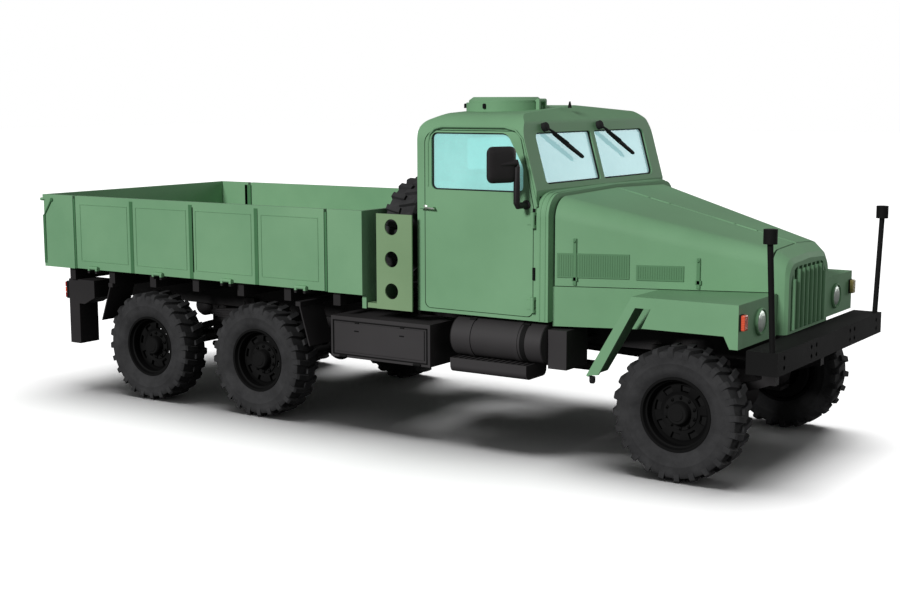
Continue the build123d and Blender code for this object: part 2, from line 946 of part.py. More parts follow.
slat_pitch = 2 * grille_half_width / slat_count
slat_field = front_solid(shrunk(grille_outline, seat_gap), nose_tip_x - slat_depth, nose_tip_x)
bars = []
for index in range(slat_count):
    y = -grille_half_width + slat_pitch * (index + 0.5)
    bars.append(
        block(
            nose_tip_x - slat_depth,
            nose_tip_x,
            y - slat_width / 2,
            y + slat_width / 2,
            grille_low_z,
            grille_top_z,
        ),
    )
tie_z = grille_low_z + slat_width
grille = block(
    nose_tip_x - slat_depth,
    nose_tip_x - slat_depth / 2,
    -grille_half_width,
    grille_half_width,
    grille_low_z,
    tie_z,
)
tie_top = grille_top_z - grille_radius
grille += block(
    nose_tip_x - slat_depth,
    nose_tip_x - slat_depth / 2,
    -grille_half_width,
    grille_half_width,
    tie_top,
    tie_top + slat_width,
)
for bar in bars:
    grille += bar
save("grille", grille & slat_field)

# Radiator on the frame behind the grille, and the engine as one block on its cross members.
radiator_front_x = bonnet_front_x - seat_gap
save(
    "radiator",
    block(
        radiator_front_x - radiator_depth,
        radiator_front_x,
        -radiator_half_width,
        radiator_half_width,
        rail_top_z,
        radiator_top_z,
    ),
)
engine_x = (behind(engine_rear_back), ahead(engine_front_ahead))
save("engine_block", block(*engine_x, -engine_half_width, engine_half_width, engine_low_z, engine_top_z))

# Front fenders: flat top, front apron round the headlamp, outer skirt and sloping tail.
fender_front_x = ahead(fender_front_ahead)
fender_rear_x = behind(fender_rear_back)


def bonnet_half_at(x):
    return bonnet_rear_half_width - taper * (x - cab_front_x) + seat_gap


tail_x = behind(fender_tail_back)
top_plate = plan_solid(
    [
        (fender_rear_x, -bonnet_half_at(fender_rear_x)),
        (fender_front_x - fender_skin, -bonnet_half_at(fender_front_x - fender_skin)),
        (fender_front_x - fender_skin, -fender_half_width),
        (fender_rear_x, -fender_half_width),
    ],
    fender_top_z - fender_skin,
    fender_top_z,
)
apron_inner_y = bonnet_half_at(bonnet_front_x)
fender = top_plate + block(
    fender_front_x - fender_skin,
    fender_front_x,
    -fender_half_width,
    -apron_inner_y,
    fender_toe_z,
    fender_top_z,
)
skirt = side_solid(
    [
        (tail_x, fender_tail_z),
        (fender_rear_x, fender_top_z),
        (fender_front_x, fender_top_z),
        (fender_front_x, fender_toe_z),
        (ahead(toe_back_ahead), fender_toe_z),
        (ahead(toe_top_ahead), skirt_z),
        (behind(arch_rear_back), skirt_z),
        (behind(arch_peak_back), arch_peak_z),
        (behind(band_top_back), arch_peak_z),
        (behind(band_foot_back), band_foot_z),
    ],
    -fender_half_width,
    -fender_half_width + fender_skin,
)
tail_run = Vector(tail_x - fender_rear_x, 0, fender_tail_z - fender_top_z).normalized()
tail_in = Vector(-tail_run.Z, 0, tail_run.X) * -fender_skin
tail_inner_y = -bonnet_half_at(tail_x)
tail = side_solid(
    [
        (fender_rear_x, fender_top_z),
        (tail_x, fender_tail_z),
        (tail_x - tail_in.X, fender_tail_z - tail_in.Z),
        (fender_rear_x - tail_in.X, fender_top_z - tail_in.Z),
    ],
    -fender_half_width,
    tail_inner_y,
)
lamp_hole = rod(
    (fender_front_x - headlamp_depth, -headlamp_y, headlamp_z),
    (fender_front_x + overrun, -headlamp_y, headlamp_z),
    headlamp_radius + seat_gap,
)
fender = fender + skirt + tail - lamp_hole
save("front_fenders", fender, left_of(fender))

# Headlamps: a bowl behind the apron with a bulged lens in front, and the turn signals on the outer corners.
lamp_back_x = fender_front_x - headlamp_depth
lamp_face_x = fender_front_x + headlamp_proud / 2
headlamp = rod(
    (lamp_back_x, -headlamp_y, headlamp_z),
    (lamp_face_x, -headlamp_y, headlamp_z),
    headlamp_radius,
)
lens_base = Plane(origin=(lamp_face_x, -headlamp_y, headlamp_z), z_dir=(1, 0, 0))
lens_tip = Plane(origin=(fender_front_x + headlamp_proud, -headlamp_y, headlamp_z), z_dir=(1, 0, 0))
headlamp += loft(
    [lens_base * Circle(headlamp_radius), lens_tip * Circle(headlamp_radius * lens_flat_share)],
)
save("headlamps", headlamp, left_of(headlamp))
signal = side_solid(
    [
        (fender_front_x, indicator_z - indicator_height / 2),
        (fender_front_x + indicator_depth, indicator_z - indicator_height / 2, indicator_depth / 3),
        (fender_front_x + indicator_depth, indicator_z + indicator_height / 2, indicator_depth / 3),
        (fender_front_x, indicator_z + indicator_height / 2),
    ],
    -indicator_y - indicator_width / 2,
    -indicator_y + indicator_width / 2,
)
hanger_rear_x = behind(hanger_rear_back)
tail_lamp_y = -(hanger_outer_y + hanger_inner_y) / 2
tail_lamp = block(
    hanger_rear_x - lamp_depth,
    hanger_rear_x,
    tail_lamp_y - lamp_width / 2,
    tail_lamp_y + lamp_width / 2,
    lamp_low_z,
    lamp_top_z,
)
save("signal_lamps", signal, left_of(signal), tail_lamp, left_of(tail_lamp))

# Bumper: pressed channel with closed ends, a flat platform and two marker posts.
bumper_front_x = ahead(front_overhang)
bumper_rear_x = ahead(bumper_rear_ahead)
bumper = side_solid(
    [
        (bumper_rear_x, bumper_top_z),
        (bumper_front_x, bumper_top_z),
        (bumper_front_x, bumper_low_z),
        (bumper_front_x - bumper_lip, bumper_low_z),
        (bumper_front_x - bumper_lip, bumper_low_z + bumper_plate),
        (bumper_front_x - bumper_plate, bumper_low_z + bumper_plate),
        (bumper_front_x - bumper_plate, bumper_top_z - bumper_plate),
        (bumper_rear_x, bumper_top_z - bumper_plate),
    ],
    -bumper_half_width,
    bumper_half_width,
)
bumper_web_y = rail_half_width - rail_wall / 2
for y in (bumper_half_width - bumper_plate / 2, bumper_web_y):
    web = block(
        bumper_rear_x,
        bumper_front_x - bumper_plate / 2,
        -y - bumper_plate / 2,
        -y + bumper_plate / 2,
        bumper_low_z,
        bumper_top_z,
    )
    bumper = bumper + web + left_of(web)
marker_x = bumper_front_x - marker_inset
marker_base = (marker_x, -marker_base_y, bumper_top_z - bumper_plate)
marker_top = (marker_x, -marker_top_y, marker_top_z)
marker = rod(marker_base, marker_top, marker_radius)
marker += rod(marker_top, (marker_x, -marker_top_y, marker_top_z + marker_cap_height), marker_cap_radius)
bumper = bumper + marker + left_of(marker)
save("front_bumper", bumper)

# Cargo bed: floor on cross bearers, front board with its side returns, fixed rear corners, drop boards all round.
bed_front_x = behind(bed_front_back)
bed_rear_x = behind(bed_rear_back)
front_post_x = behind(front_post_back)
rear_post_x = behind(rear_post_back)
floor_edge = bed_half_width - board_thickness - 2 * panel_gap
deck_front_x = bed_front_x - board_thickness
deck_rear_x = bed_rear_x + board_thickness + 2 * panel_gap
deck = block(deck_rear_x, deck_front_x, -floor_edge, floor_edge, bed_low_z, bed_floor_z)
bearer_low_z = bed_low_z - bearer_height
for index in range(bearer_count):
    share = (index + 0.5) / bearer_count
    x = deck_rear_x + (deck_front_x - deck_rear_x) * share
    deck += block(
        x - bearer_width / 2,
        x + bearer_width / 2,
        -floor_edge,
        floor_edge,
        bearer_low_z,
        bed_low_z,
    )
runner_half = rail_flange / 2
runner_y = rail_half_width - runner_half
for side in (-1, 1):
    y = side * runner_y
    deck += block(
        deck_rear_x,
        deck_front_x,
        y - runner_half,
        y + runner_half,
        rail_top_z,
        bearer_low_z + overrun,
    )
ear_low_z = bed_low_z - ear_drop


def side_board(x_low, x_high, low_z, panels):
    """Right-hand board: a thin sheet with pressed panels standing proud between upright grooves."""
    outer = -bed_half_width
    sheet_face = outer + board_thickness - board_sheet
    board = block(x_low, x_high, sheet_face, outer + board_thickness, low_z, bed_top_z)
    board += block(x_low, x_high, outer, sheet_face, low_z, low_z + bed_sill_height)
    board += block(x_low, x_high, outer, sheet_face, bed_top_z - bed_rail_height, bed_top_z)
    for panel_low, panel_high in panels:
        board += block(
            panel_low,
            panel_high,
            outer,
            sheet_face,
            low_z + bed_sill_height,
            bed_top_z - bed_rail_height,
        )
    return board


panel_count = round((rear_post_back - front_post_back) / post_pitch)
panel_pitch = (front_post_x - rear_post_x) / panel_count
drop_panels = []
for index in range(panel_count):
    low = rear_post_x + panel_pitch * index + post_width / 2
    drop_panels.append((low, low + panel_pitch - post_width))
drop_low_x = rear_post_x + post_width / 2
drop_high_x = front_post_x - post_width / 2
board_low_z = bed_low_z + panel_gap
drop_board = side_board(drop_low_x, drop_high_x, board_low_z, drop_panels)

# The drop boards and tailgate turn on rods below their outer faces, in barrels at even steps.
board_pin_y = bed_half_width + board_swing_offset
board_pin_z = board_low_z + hinge_barrel_radius
board_hinge_shares = [0.08, 0.36, 0.64, 0.92]
leaf_half = hinge_barrel_length / 2
for share in board_hinge_shares:
    x = drop_low_x + (drop_high_x - drop_low_x) * share
    barrel = rod(
        (x - leaf_half, -board_pin_y, board_pin_z),
        (x + leaf_half, -board_pin_y, board_pin_z),
        hinge_barrel_radius,
    )
    leaf = block(
        x - leaf_half,
        x + leaf_half,
        -board_pin_y,
        -bed_half_width,
        board_pin_z,
        board_pin_z + hinge_barrel_radius,
    )
    ends = x - leaf_half - overrun, x + leaf_half + overrun
    board_bore = rod(
        (ends[0], -board_pin_y, board_pin_z),
        (ends[1], -board_pin_y, board_pin_z),
        hinge_pin_radius + seat_gap,
    )
    drop_board = drop_board + barrel + leaf - board_bore
    for side in (-1, 1):
        near = x + side * (leaf_half + seat_gap)
        far = near + side * hinge_lug_length
        low, high = sorted((near, far))
        ear = rod((low, -board_pin_y, board_pin_z), (high, -board_pin_y, board_pin_z), hinge_barrel_radius)
        ear += block(
            low,
            high,
            -board_pin_y - hinge_barrel_radius,
            -floor_edge + 2 * overrun,
            ear_low_z,
            bed_low_z,
        )
        ear += block(
            low,
            high,
            -board_pin_y - hinge_barrel_radius,
            -board_pin_y + hinge_barrel_radius,
            bed_low_z,
            board_pin_z,
        )
        deck = deck + ear + left_of(ear)
    pin = rod(
        (x - leaf_half - hinge_lug_length, -board_pin_y, board_pin_z),
        (x + leaf_half + hinge_lug_length, -board_pin_y, board_pin_z),
        hinge_pin_radius,
    )
    deck = deck + pin + left_of(pin)
save("side_board_right", drop_board)
save("side_board_left", left_of(drop_board))

gate_half = bed_half_width - board_thickness - panel_gap
gate_pin_x = bed_rear_x - board_swing_offset
gate_high_x = bed_rear_x + board_thickness
gate = block(gate_high_x - board_sheet, gate_high_x, -gate_half, gate_half, board_low_z, bed_top_z)
gate_panel_shares = [(-1.0, -0.36), (-0.33, 0.33), (0.36, 1.0)]
for low_share, high_share in gate_panel_shares:
    gate += block(
        bed_rear_x,
        gate_high_x - board_sheet,
        gate_half * low_share,
        gate_half * high_share,
        board_low_z + bed_sill_height,
        bed_top_z - bed_rail_height,
    )
gate += block(
    bed_rear_x,
    gate_high_x - board_sheet,
    -gate_half,
    gate_half,
    board_low_z,
    board_low_z + bed_sill_height,
)
gate += block(
    bed_rear_x,
    gate_high_x - board_sheet,
    -gate_half,
    gate_half,
    bed_top_z - bed_rail_height,
    bed_top_z,
)
gate_hinge_shares = [-0.8, -0.3, 0.3, 0.8]
for share in gate_hinge_shares:
    y = gate_half * share
    barrel = rod(
        (gate_pin_x, y - leaf_half, board_pin_z),
        (gate_pin_x, y + leaf_half, board_pin_z),
        hinge_barrel_radius,
    )
    leaf = block(
        gate_pin_x,
        bed_rear_x,
        y - leaf_half,
        y + leaf_half,
        board_pin_z,
        board_pin_z + hinge_barrel_radius,
    )
    gate_bore = rod(
        (gate_pin_x, y - leaf_half - overrun, board_pin_z),
        (gate_pin_x, y + leaf_half + overrun, board_pin_z),
        hinge_pin_radius + seat_gap,
    )
    gate = gate + barrel + leaf - gate_bore
    for side in (-1, 1):
        near = y + side * (leaf_half + seat_gap)
        far = near + side * hinge_lug_length
        low, high = sorted((near, far))
        deck += rod((gate_pin_x, low, board_pin_z), (gate_pin_x, high, board_pin_z), hinge_barrel_radius)
        deck += block(
            gate_pin_x - hinge_barrel_radius,
            deck_rear_x + 2 * overrun,
            low,
            high,
            ear_low_z,
            bed_low_z,
        )
        deck += block(
            gate_pin_x - hinge_barrel_radius,
            gate_pin_x + hinge_barrel_radius,
            low,
            high,
            bed_low_z,
            board_pin_z,
        )
    lug_end = leaf_half + hinge_lug_length
    deck += rod(
        (gate_pin_x, y - lug_end, board_pin_z),
        (gate_pin_x, y + lug_end, board_pin_z),
        hinge_pin_radius,
    )
save("tailgate", gate)
save("bed_floor", deck)

front_board = block(
    bed_front_x - board_thickness,
    bed_front_x,
    -bed_half_width,
    bed_half_width,
    bed_low_z,
    bed_top_z,
)
return_low_x = front_post_x + post_width / 2
side_return = side_board(return_low_x, bed_front_x, bed_low_z, [(return_low_x, bed_front_x - post_width)])
front_board = front_board + side_return + left_of(side_return)
front_foot = block(
    bed_front_x - board_thickness,
    bed_front_x,
    -floor_edge,
    floor_edge,
    bearer_low_z,
    bed_low_z,
)
save("bed_front_board", front_board + front_foot)
corner_high_x = rear_post_x - post_width / 2
corner_panel = (bed_rear_x + post_width, corner_high_x)
corner = side_board(bed_rear_x, corner_high_x, bed_low_z, [corner_panel])
corner += block(
    deck_rear_x,
    corner_high_x,
    -bed_half_width + board_thickness,
    -floor_edge,
    bed_low_z,
    bed_floor_z,
)
latch_z = bed_top_z - bed_rail_height
latch_reach_x = bed_rear_x - latch_proud
latch_y = -bed_half_width + latch_radius
corner += rod((bed_rear_x, latch_y, latch_z), (latch_reach_x, latch_y, latch_z), latch_radius)
save("bed_corners", corner, left_of(corner))

# Side equipment: tool boxes, tanks with their steps, battery boxes, all on arms from the frame.
equipment, tanks = [], []
inner_y = equipment_outer_y - box_depth
box_x = (behind(box_rear_back), behind(box_front_back))
tool_box = block(*box_x, -equipment_outer_y, -inner_y, box_low_z, box_top_z)
tool_box += block(
    box_x[0] + lid_margin,
    box_x[1] - lid_margin,
    -equipment_outer_y - lid_proud,
    -equipment_outer_y,
    box_low_z + lid_margin,
    box_top_z - lid_margin,
)
step_x = (behind(tank_rear_back), behind(step_front_back))
step_inner_y = equipment_outer_y - 2 * tank_radius
step = front_solid(
    [
        (-equipment_outer_y, step_high_z),
        (-equipment_outer_y, step_low_z, arm_width),
        (-step_inner_y, step_low_z, arm_width),
        (-step_inner_y, step_high_z),
    ],
    *step_x,
)
battery = block(
    behind(tank_front_back) + panel_gap,
    behind(battery_front_back),
    -equipment_outer_y + 2 * arm_width,
    -inner_y,
    battery_low_z,
    battery_top_z,
)
arm_z = rail_bottom_z + arm_height


def arm_to(x, reach_y, z):
    """Bracket arm from the outside of the rail."""
    return block(x - arm_width / 2, x + arm_width / 2, -reach_y, -rail_half_width, z, z + arm_height)


for x in (box_x[0] + arm_width, box_x[1] - arm_width):
    tool_box += arm_to(x, inner_y, arm_z)
for x in (step_x[0] + arm_width, step_x[1] - arm_width):
    hook = arm_to(x, step_inner_y, arm_z) + block(
        x - arm_width / 2,
        x + arm_width / 2,
        -step_inner_y,
        -step_inner_y + arm_height,
        step_low_z + arm_width,
        arm_z + arm_height,
    )
    step += hook
battery += arm_to(behind((tank_front_back + battery_front_back) / 2), inner_y, arm_z)
equipment = [tool_box, step, battery]
save("equipment_boxes", *equipment, *[left_of(piece) for piece in equipment])

tank_y = -(equipment_outer_y - tank_radius)
tank_x = (behind(tank_rear_back), behind(tank_front_back))
tank_centre_z = step_high_z + tank_radius + tank_strap_thickness
tank = rod((tank_x[0], tank_y, tank_centre_z), (tank_x[1], tank_y, tank_centre_z), tank_radius)
strap_shares = [0.2, 0.72]
for share in strap_shares:
    x = tank_x[0] + (tank_x[1] - tank_x[0]) * share
    tank += rod(
        (x - tank_strap_width / 2, tank_y, tank_centre_z),
        (x + tank_strap_width / 2, tank_y, tank_centre_z),
        tank_radius + tank_strap_thickness,
    )
save("fuel_tanks", tank, left_of(tank))

# Spare wheel carrier: two pierced side plates tied by beams, standing on the frame between cab and bed.
carrier_x = (behind(carrier_rear_back), behind(carrier_front_back))
plate = block(
    *carrier_x,
    -carrier_half_width,
    -carrier_half_width + carrier_thickness,
    carrier_low_z,
    carrier_top_z,
)
for index in range(3):
    z = carrier_first_hole_z + carrier_hole_pitch * index
    hole_x = behind(carrier_hole_back)
    plate -= rod(
        (hole_x, -carrier_half_width - overrun, z),
        (hole_x, -carrier_half_width + 2 * overrun, z),
        carrier_hole_radius,
    )
post_x = behind(carrier_post_back)
beam_top_z = carrier_low_z + carrier_beam
beam_half = carrier_half_width - carrier_thickness / 2
carrier = plate + left_of(plate)
carrier += block(post_x, post_x + carrier_beam_depth, -beam_half, beam_half, carrier_low_z, beam_top_z)
foot_half = rail_flange / 2
for side in (-1, 1):
    y = side * runner_y
    carrier += block(
        post_x,
        post_x + carrier_beam_depth / 2,
        y - foot_half,
        y + foot_half,
        rail_top_z,
        carrier_low_z,
    )
spare_x = behind(spare_back)
carrier += block(
    post_x,
    post_x + carrier_post_thickness,
    spare_y - carrier_post_half_width,
    spare_y + carrier_post_half_width,
    carrier_low_z,
    spare_z + carrier_post_half_width,
)

# Wheels: the tyre has flat facets so that it rests on one; the rim is a deep dish with a long hub.
tyre_inner = rim_seat_radius + seat_gap
tyre_half = tyre_width / 2
tread_base_radius = tyre_radius - lug_height
tyre_profile = [
    (-tyre_bead_half_width, tyre_inner),
    (-tyre_half, tyre_wall_radius),
    (-tyre_half + panel_gap, tyre_shoulder_radius),
    (-tread_half_width, tread_base_radius),
    (tread_half_width, tread_base_radius),
    (tyre_half - panel_gap, tyre_shoulder_radius),
    (tyre_half, tyre_wall_radius),
    (tyre_bead_half_width, tyre_inner),
]
tyre = polygon_ring(tyre_profile, wheel_sides)

# Lugs: one on each facet, leaning, in two staggered rows that lap at the middle of the tread.
lug_middle_y = (lug_outer_y - lug_lap) / 2
lug_reach = (lug_outer_y + lug_lap) / 2
lugs = []
for index in range(wheel_sides):
    row = 1 if index % 2 == 0 else -1
    bar = block(
        -lug_length / 2,
        lug_length / 2,
        -lug_reach,
        lug_reach,
        tread_base_radius - lug_root,
        tyre_radius,
    )
    lean = Pos(0, row * lug_middle_y, 0) * Rot(0, 0, row * lug_slant_deg) * bar
    lugs.append(Rot(0, index * 360 / wheel_sides, 0) * lean)
tyre = tyre.fuse(*lugs)
bore_radius = spindle_radius + spindle_clearance
flange_inner = rim_half_width - rim_flange_width
rim_profile = [
    (-rim_half_width, rim_well_radius),
    (-rim_half_width, rim_flange_radius),
    (-flange_inner, rim_flange_radius),
    (-flange_inner, rim_seat_radius),
    (flange_inner, rim_seat_radius),
    (flange_inner, rim_flange_radius),
    (rim_half_width, rim_flange_radius),
    (rim_half_width, rim_well_radius),
    (0, rim_well_radius),
    (dish_thickness, hub_outer_radius),
    (hub_reach, hub_outer_radius),
    (hub_reach, bore_radius),
    (-hub_inner_reach, bore_radius),
    (-hub_inner_reach, hub_outer_radius),
    (-dish_thickness, rim_well_radius),
]
rim = polygon_ring(rim_profile, wheel_sides)
stations = {"front": front_axle_x, "middle": middle_axle_x, "rear": rear_axle_x}
for station, x in stations.items():
    place = Pos(x, wheel_y, axle_z)
    save("tyre_" + station + "_left", place * tyre)
    save("tyre_" + station + "_right", left_of(place * tyre))
    save("rim_" + station + "_left", place * rim)
    save("rim_" + station + "_right", left_of(place * rim))
spare_place = Pos(spare_x, spare_y, spare_z) * Rot(0, 0, 90)
save("spare_tyre", spare_place * tyre)
save("spare_rim", spare_place * rim)
carrier += rod(
    (post_x + carrier_post_thickness / 2, spare_y, spare_z),
    (spare_x + hub_inner_reach, spare_y, spare_z),
    spindle_radius,
)
save("spare_carrier", carrier)

# Axles: tubes with bulged drive casings; the front one ends in balls that carry the kingpins.
stub_reach_y = wheel_y + hub_reach - overrun


def casing(x):
    """Bulged drive casing in the middle of an axle."""
    middle = Plane(origin=(x, 0, axle_z), z_dir=(0, 1, 0))
    near = Plane(origin=(x, diff_half_length, axle_z), z_dir=(0, 1, 0))
    half = loft([middle * Circle(diff_radius), near * Circle(axle_radius)])
    return half + left_of(half)


axles = []
for x in (middle_axle_x, rear_axle_x):
    axle = rod((x, -stub_flange_y, axle_z), (x, stub_flange_y, axle_z), axle_radius) + casing(x)
    axle += rod((x, -stub_reach_y, axle_z), (x, stub_reach_y, axle_z), spindle_radius)
    axles.append(axle)
front_axle = rod((front_axle_x, -kingpin_y, axle_z), (front_axle_x, kingpin_y, axle_z), axle_radius) + casing(
    front_axle_x,
)
for side in (-1, 1):
    y = side * kingpin_y
    front_axle += Pos(front_axle_x, y, axle_z) * Sphere(ball_radius)
    reach = ball_radius + kingpin_length
    front_axle += rod((front_axle_x, y, axle_z - reach), (front_axle_x, y, axle_z + reach), kingpin_radius)
save("axles", *axles, front_axle)

# Steering knuckles: a forked plate over each ball, with the spindle that carries the wheel.
fork_inner = ball_radius + knuckle_gap
fork_outer = fork_inner + knuckle_plate
half_width = knuckle_width / 2
knuckle_web_y = kingpin_y + fork_inner
web_outer_y = knuckle_web_y + knuckle_plate
fork = front_solid(
    [
        (kingpin_y - half_width, axle_z - fork_outer),
        (web_outer_y, axle_z - fork_outer),
        (web_outer_y, axle_z + fork_outer),
        (kingpin_y - half_width, axle_z + fork_outer),
        (kingpin_y - half_width, axle_z + fork_inner),
        (knuckle_web_y, axle_z + fork_inner),
        (knuckle_web_y, axle_z - fork_inner),
        (kingpin_y - half_width, axle_z - fork_inner),
    ],
    front_axle_x - half_width,
    front_axle_x + half_width,
)
fork += rod((front_axle_x, knuckle_web_y, axle_z), (front_axle_x, stub_reach_y, axle_z), spindle_radius)
pin_reach = fork_outer + overrun
fork -= rod(
    (front_axle_x, kingpin_y, axle_z - pin_reach),
    (front_axle_x, kingpin_y, axle_z - fork_inner + knuckle_gap / 2),
    kingpin_radius + kingpin_clearance,
)
fork -= rod(
    (front_axle_x, kingpin_y, axle_z + fork_inner - knuckle_gap / 2),
    (front_axle_x, kingpin_y, axle_z + pin_reach),
    kingpin_radius + kingpin_clearance,
)
save("knuckle_left", fork)
save("knuckle_right", left_of(fork))


# Leaf springs: the front pair sags between the rail brackets, the bogie pair bows over its trunnion.
def leaf_pack(middle_x, half, low_z, rise, thickness):
    """Bowed pack in side view; a negative rise sags."""
    points_low = [(middle_x - half, low_z), (middle_x, low_z + rise), (middle_x + half, low_z)]
    points_high = [(x, z + thickness) for x, z in points_low]
    arc_low = ThreePointArc(*[Vector(x, 0, z) for x, z in points_low])
    arc_high = ThreePointArc(*[Vector(x, 0, z) for x, z in points_high])
    left_end = Line(arc_low @ 0, arc_high @ 0)
    right_end = Line(arc_low @ 1, arc_high @ 1)
    face = make_face([arc_low, right_end, arc_high, left_end])
    return extrude(Pos(0, rail_half_width, 0) * face, amount=spring_width, dir=(0, 1, 0))


axle_top_z = axle_z + axle_radius
front_low_z = axle_top_z + spring_arch
front_pack = leaf_pack(front_axle_x, spring_half_length, front_low_z, -spring_arch, spring_thickness)
for side in (-1, 1):
    x = front_axle_x + side * (spring_half_length - arm_width)
    front_pack += block(
        x - arm_width,
        x + arm_width,
        rail_half_width,
        rail_half_width + spring_width,
        front_low_z - arm_height / 2,
        rail_bottom_z + arm_width,
    )
bogie_x = (middle_axle_x + rear_axle_x) / 2
rear_pack = leaf_pack(bogie_x, bogie_half_length, axle_top_z, spring_arch, spring_thickness)
trunnion_z = axle_top_z + spring_arch + spring_thickness
rear_pack += side_solid(
    [
        (bogie_x - 2 * trunnion_radius, trunnion_z - spring_thickness / 2),
        (bogie_x + 2 * trunnion_radius, trunnion_z - spring_thickness / 2),
        (bogie_x + trunnion_radius, rail_bottom_z + rail_height / 2),
        (bogie_x - trunnion_radius, rail_bottom_z + rail_height / 2),
    ],
    rail_half_width,
    rail_half_width + spring_width,
)
save("leaf_springs", front_pack, left_of(front_pack), rear_pack, left_of(rear_pack))

# Drive line: transfer case on a cross member and three shafts to the casings.
transfer_x = (behind(transfer_rear_back), behind(transfer_front_back))
transfer_half = rail_half_width / 2
transfer_low_z = cross_z - rail_height
driveline = side_solid(
    [
        (transfer_x[0], cross_z),
        (transfer_x[1], cross_z),
        (transfer_x[1] - overrun, transfer_low_z, arm_width),
        (transfer_x[0] + overrun, transfer_low_z, arm_width),
    ],
    -transfer_half,
    transfer_half,
)
shaft_z = (cross_z + transfer_low_z) / 2
driveline += rod(
    (transfer_x[1] - overrun, 0, shaft_z),
    (front_axle_x - diff_radius / 2, 0, axle_z + diff_radius),
    shaft_radius,
)
driveline += rod(
    (transfer_x[0] + overrun, 0, shaft_z),
    (middle_axle_x + diff_radius / 2, 0, axle_z + diff_radius),
    shaft_radius,
)
driveline -= casing(front_axle_x)
driveline -= casing(middle_axle_x)
save("driveline", max(driveline.solids(), key=lambda s: s.volume))

# Exhaust: pipe and silencer along the right rail.
silencer_x = (behind(transfer_rear_back) - box_depth, behind(transfer_rear_back))
exhaust = rod((silencer_x[0], exhaust_y, exhaust_z), (silencer_x[1], exhaust_y, exhaust_z), silencer_radius)
exhaust += rod(
    (behind(engine_rear_back), exhaust_y, exhaust_z),
    (silencer_x[0] - box_depth, exhaust_y, exhaust_z),
    exhaust_radius,
)
for x in (silencer_x[0] + arm_width, silencer_x[1] - arm_width):
    exhaust += block(
        x - arm_width / 2,
        x + arm_width / 2,
        exhaust_y - arm_width / 2,
        -rail_half_width,
        exhaust_z,
        rail_bottom_z + arm_height,
    )
save("exhaust", exhaust)

# Flaps round the rear wheels, and the hangers below the bed's rear corners.
flap_table = [
    (rear_flap_top_back, rear_flap_foot_back, rear_flap_foot_z),
    (front_flap_top_back, front_flap_foot_back, front_flap_foot_z),
]
flaps = []
for top_back, foot_back, foot_z in flap_table:
    top_x, foot_x = behind(top_back), behind(foot_back)
    flap = side_solid(
        [
            (top_x, bearer_low_z),
            (top_x + flap_thickness, bearer_low_z),
            (foot_x + flap_thickness, foot_z),
            (foot_x, foot_z),
        ],
        -flap_outer_y,
        -flap_inner_y,
    )
    flap += block(
        top_x - arm_width / 2,
        top_x + arm_width / 2,
        -flap_outer_y,
        -rail_half_width,
        bearer_low_z - arm_height,
        bearer_low_z,
    )
    flaps.append(flap)
hanger_front_x = behind(hanger_front_back)
hanger = side_solid(
    [
        (hanger_rear_x, hanger_box_low_z),
        (hanger_front_x - hanger_chamfer, hanger_box_low_z),
        (hanger_front_x, hanger_box_low_z + hanger_chamfer / 2),
        (hanger_front_x, bearer_low_z),
        (hanger_rear_x, bearer_low_z),
    ],
    -hanger_outer_y,
    -hanger_inner_y,
)
hanger += block(
    hanger_rear_x,
    hanger_rear_x + hanger_post_width,
    -hanger_outer_y,
    -hanger_inner_y,
    hanger_low_z,
    hanger_box_low_z,
)
hanger += block(
    hanger_front_x - arm_width,
    hanger_front_x,
    -hanger_inner_y,
    -rail_half_width,
    bearer_low_z - 2 * arm_height,
    bearer_low_z - arm_height,
)
rear_pieces = flaps + [hanger]
save("rear_hangers", *rear_pieces, *[left_of(piece) for piece in rear_pieces])

# Tow coupling: plate on the rear cross member with an eye for a drawbar pin.
coupling_x = rail_rear_x
coupling = block(
    coupling_x - coupling_plate,
    coupling_x,
    -rail_half_width,
    rail_half_width,
    rail_bottom_z,
    rail_top_z,
)
tongue_end_x = coupling_x - coupling_plate - coupling_reach
coupling += plan_solid(
    [
        (coupling_x - coupling_plate, -coupling_half_width),
        (coupling_x - coupling_plate, coupling_half_width),
        (tongue_end_x, coupling_tongue_half_width, coupling_tongue_half_width / 2),
        (tongue_end_x, -coupling_tongue_half_width, coupling_tongue_half_width / 2),
    ],
    coupling_z - coupling_thickness / 2,
    coupling_z + coupling_thickness / 2,
)
eye_x = coupling_x - coupling_plate - coupling_reach / 2
coupling -= rod(
    (eye_x, 0, coupling_z - coupling_thickness),
    (eye_x, 0, coupling_z + coupling_thickness),
    coupling_hole_radius,
)
save("tow_coupling", coupling)

# Cab fittings: dashboard with the column, steering wheel, seats.
dash_rear_x = behind(dash_rear_back)
firewall_x = cab_front_x - cab_skin
dash = side_solid(
    [
        (firewall_x, dash_low_z),
        (firewall_x, dash_top_z),
        (dash_rear_x, dash_top_z, arm_width),
        (dash_rear_x, dash_low_z, arm_width),
    ],
    -cab_half_width + dash_side_gap,
    cab_half_width - dash_side_gap,
)
wheel_centre = Vector(behind(wheel_centre_back), wheel_centre_y, wheel_centre_z)
column_foot = Vector(behind(column_foot_back), wheel_centre_y, column_foot_z)
column_way = (wheel_centre - column_foot).normalized()
column_top = wheel_centre - column_way * (hub_length / 2 + seat_gap)
dash += rod(column_foot, column_top, column_radius)
save("dashboard", dash)

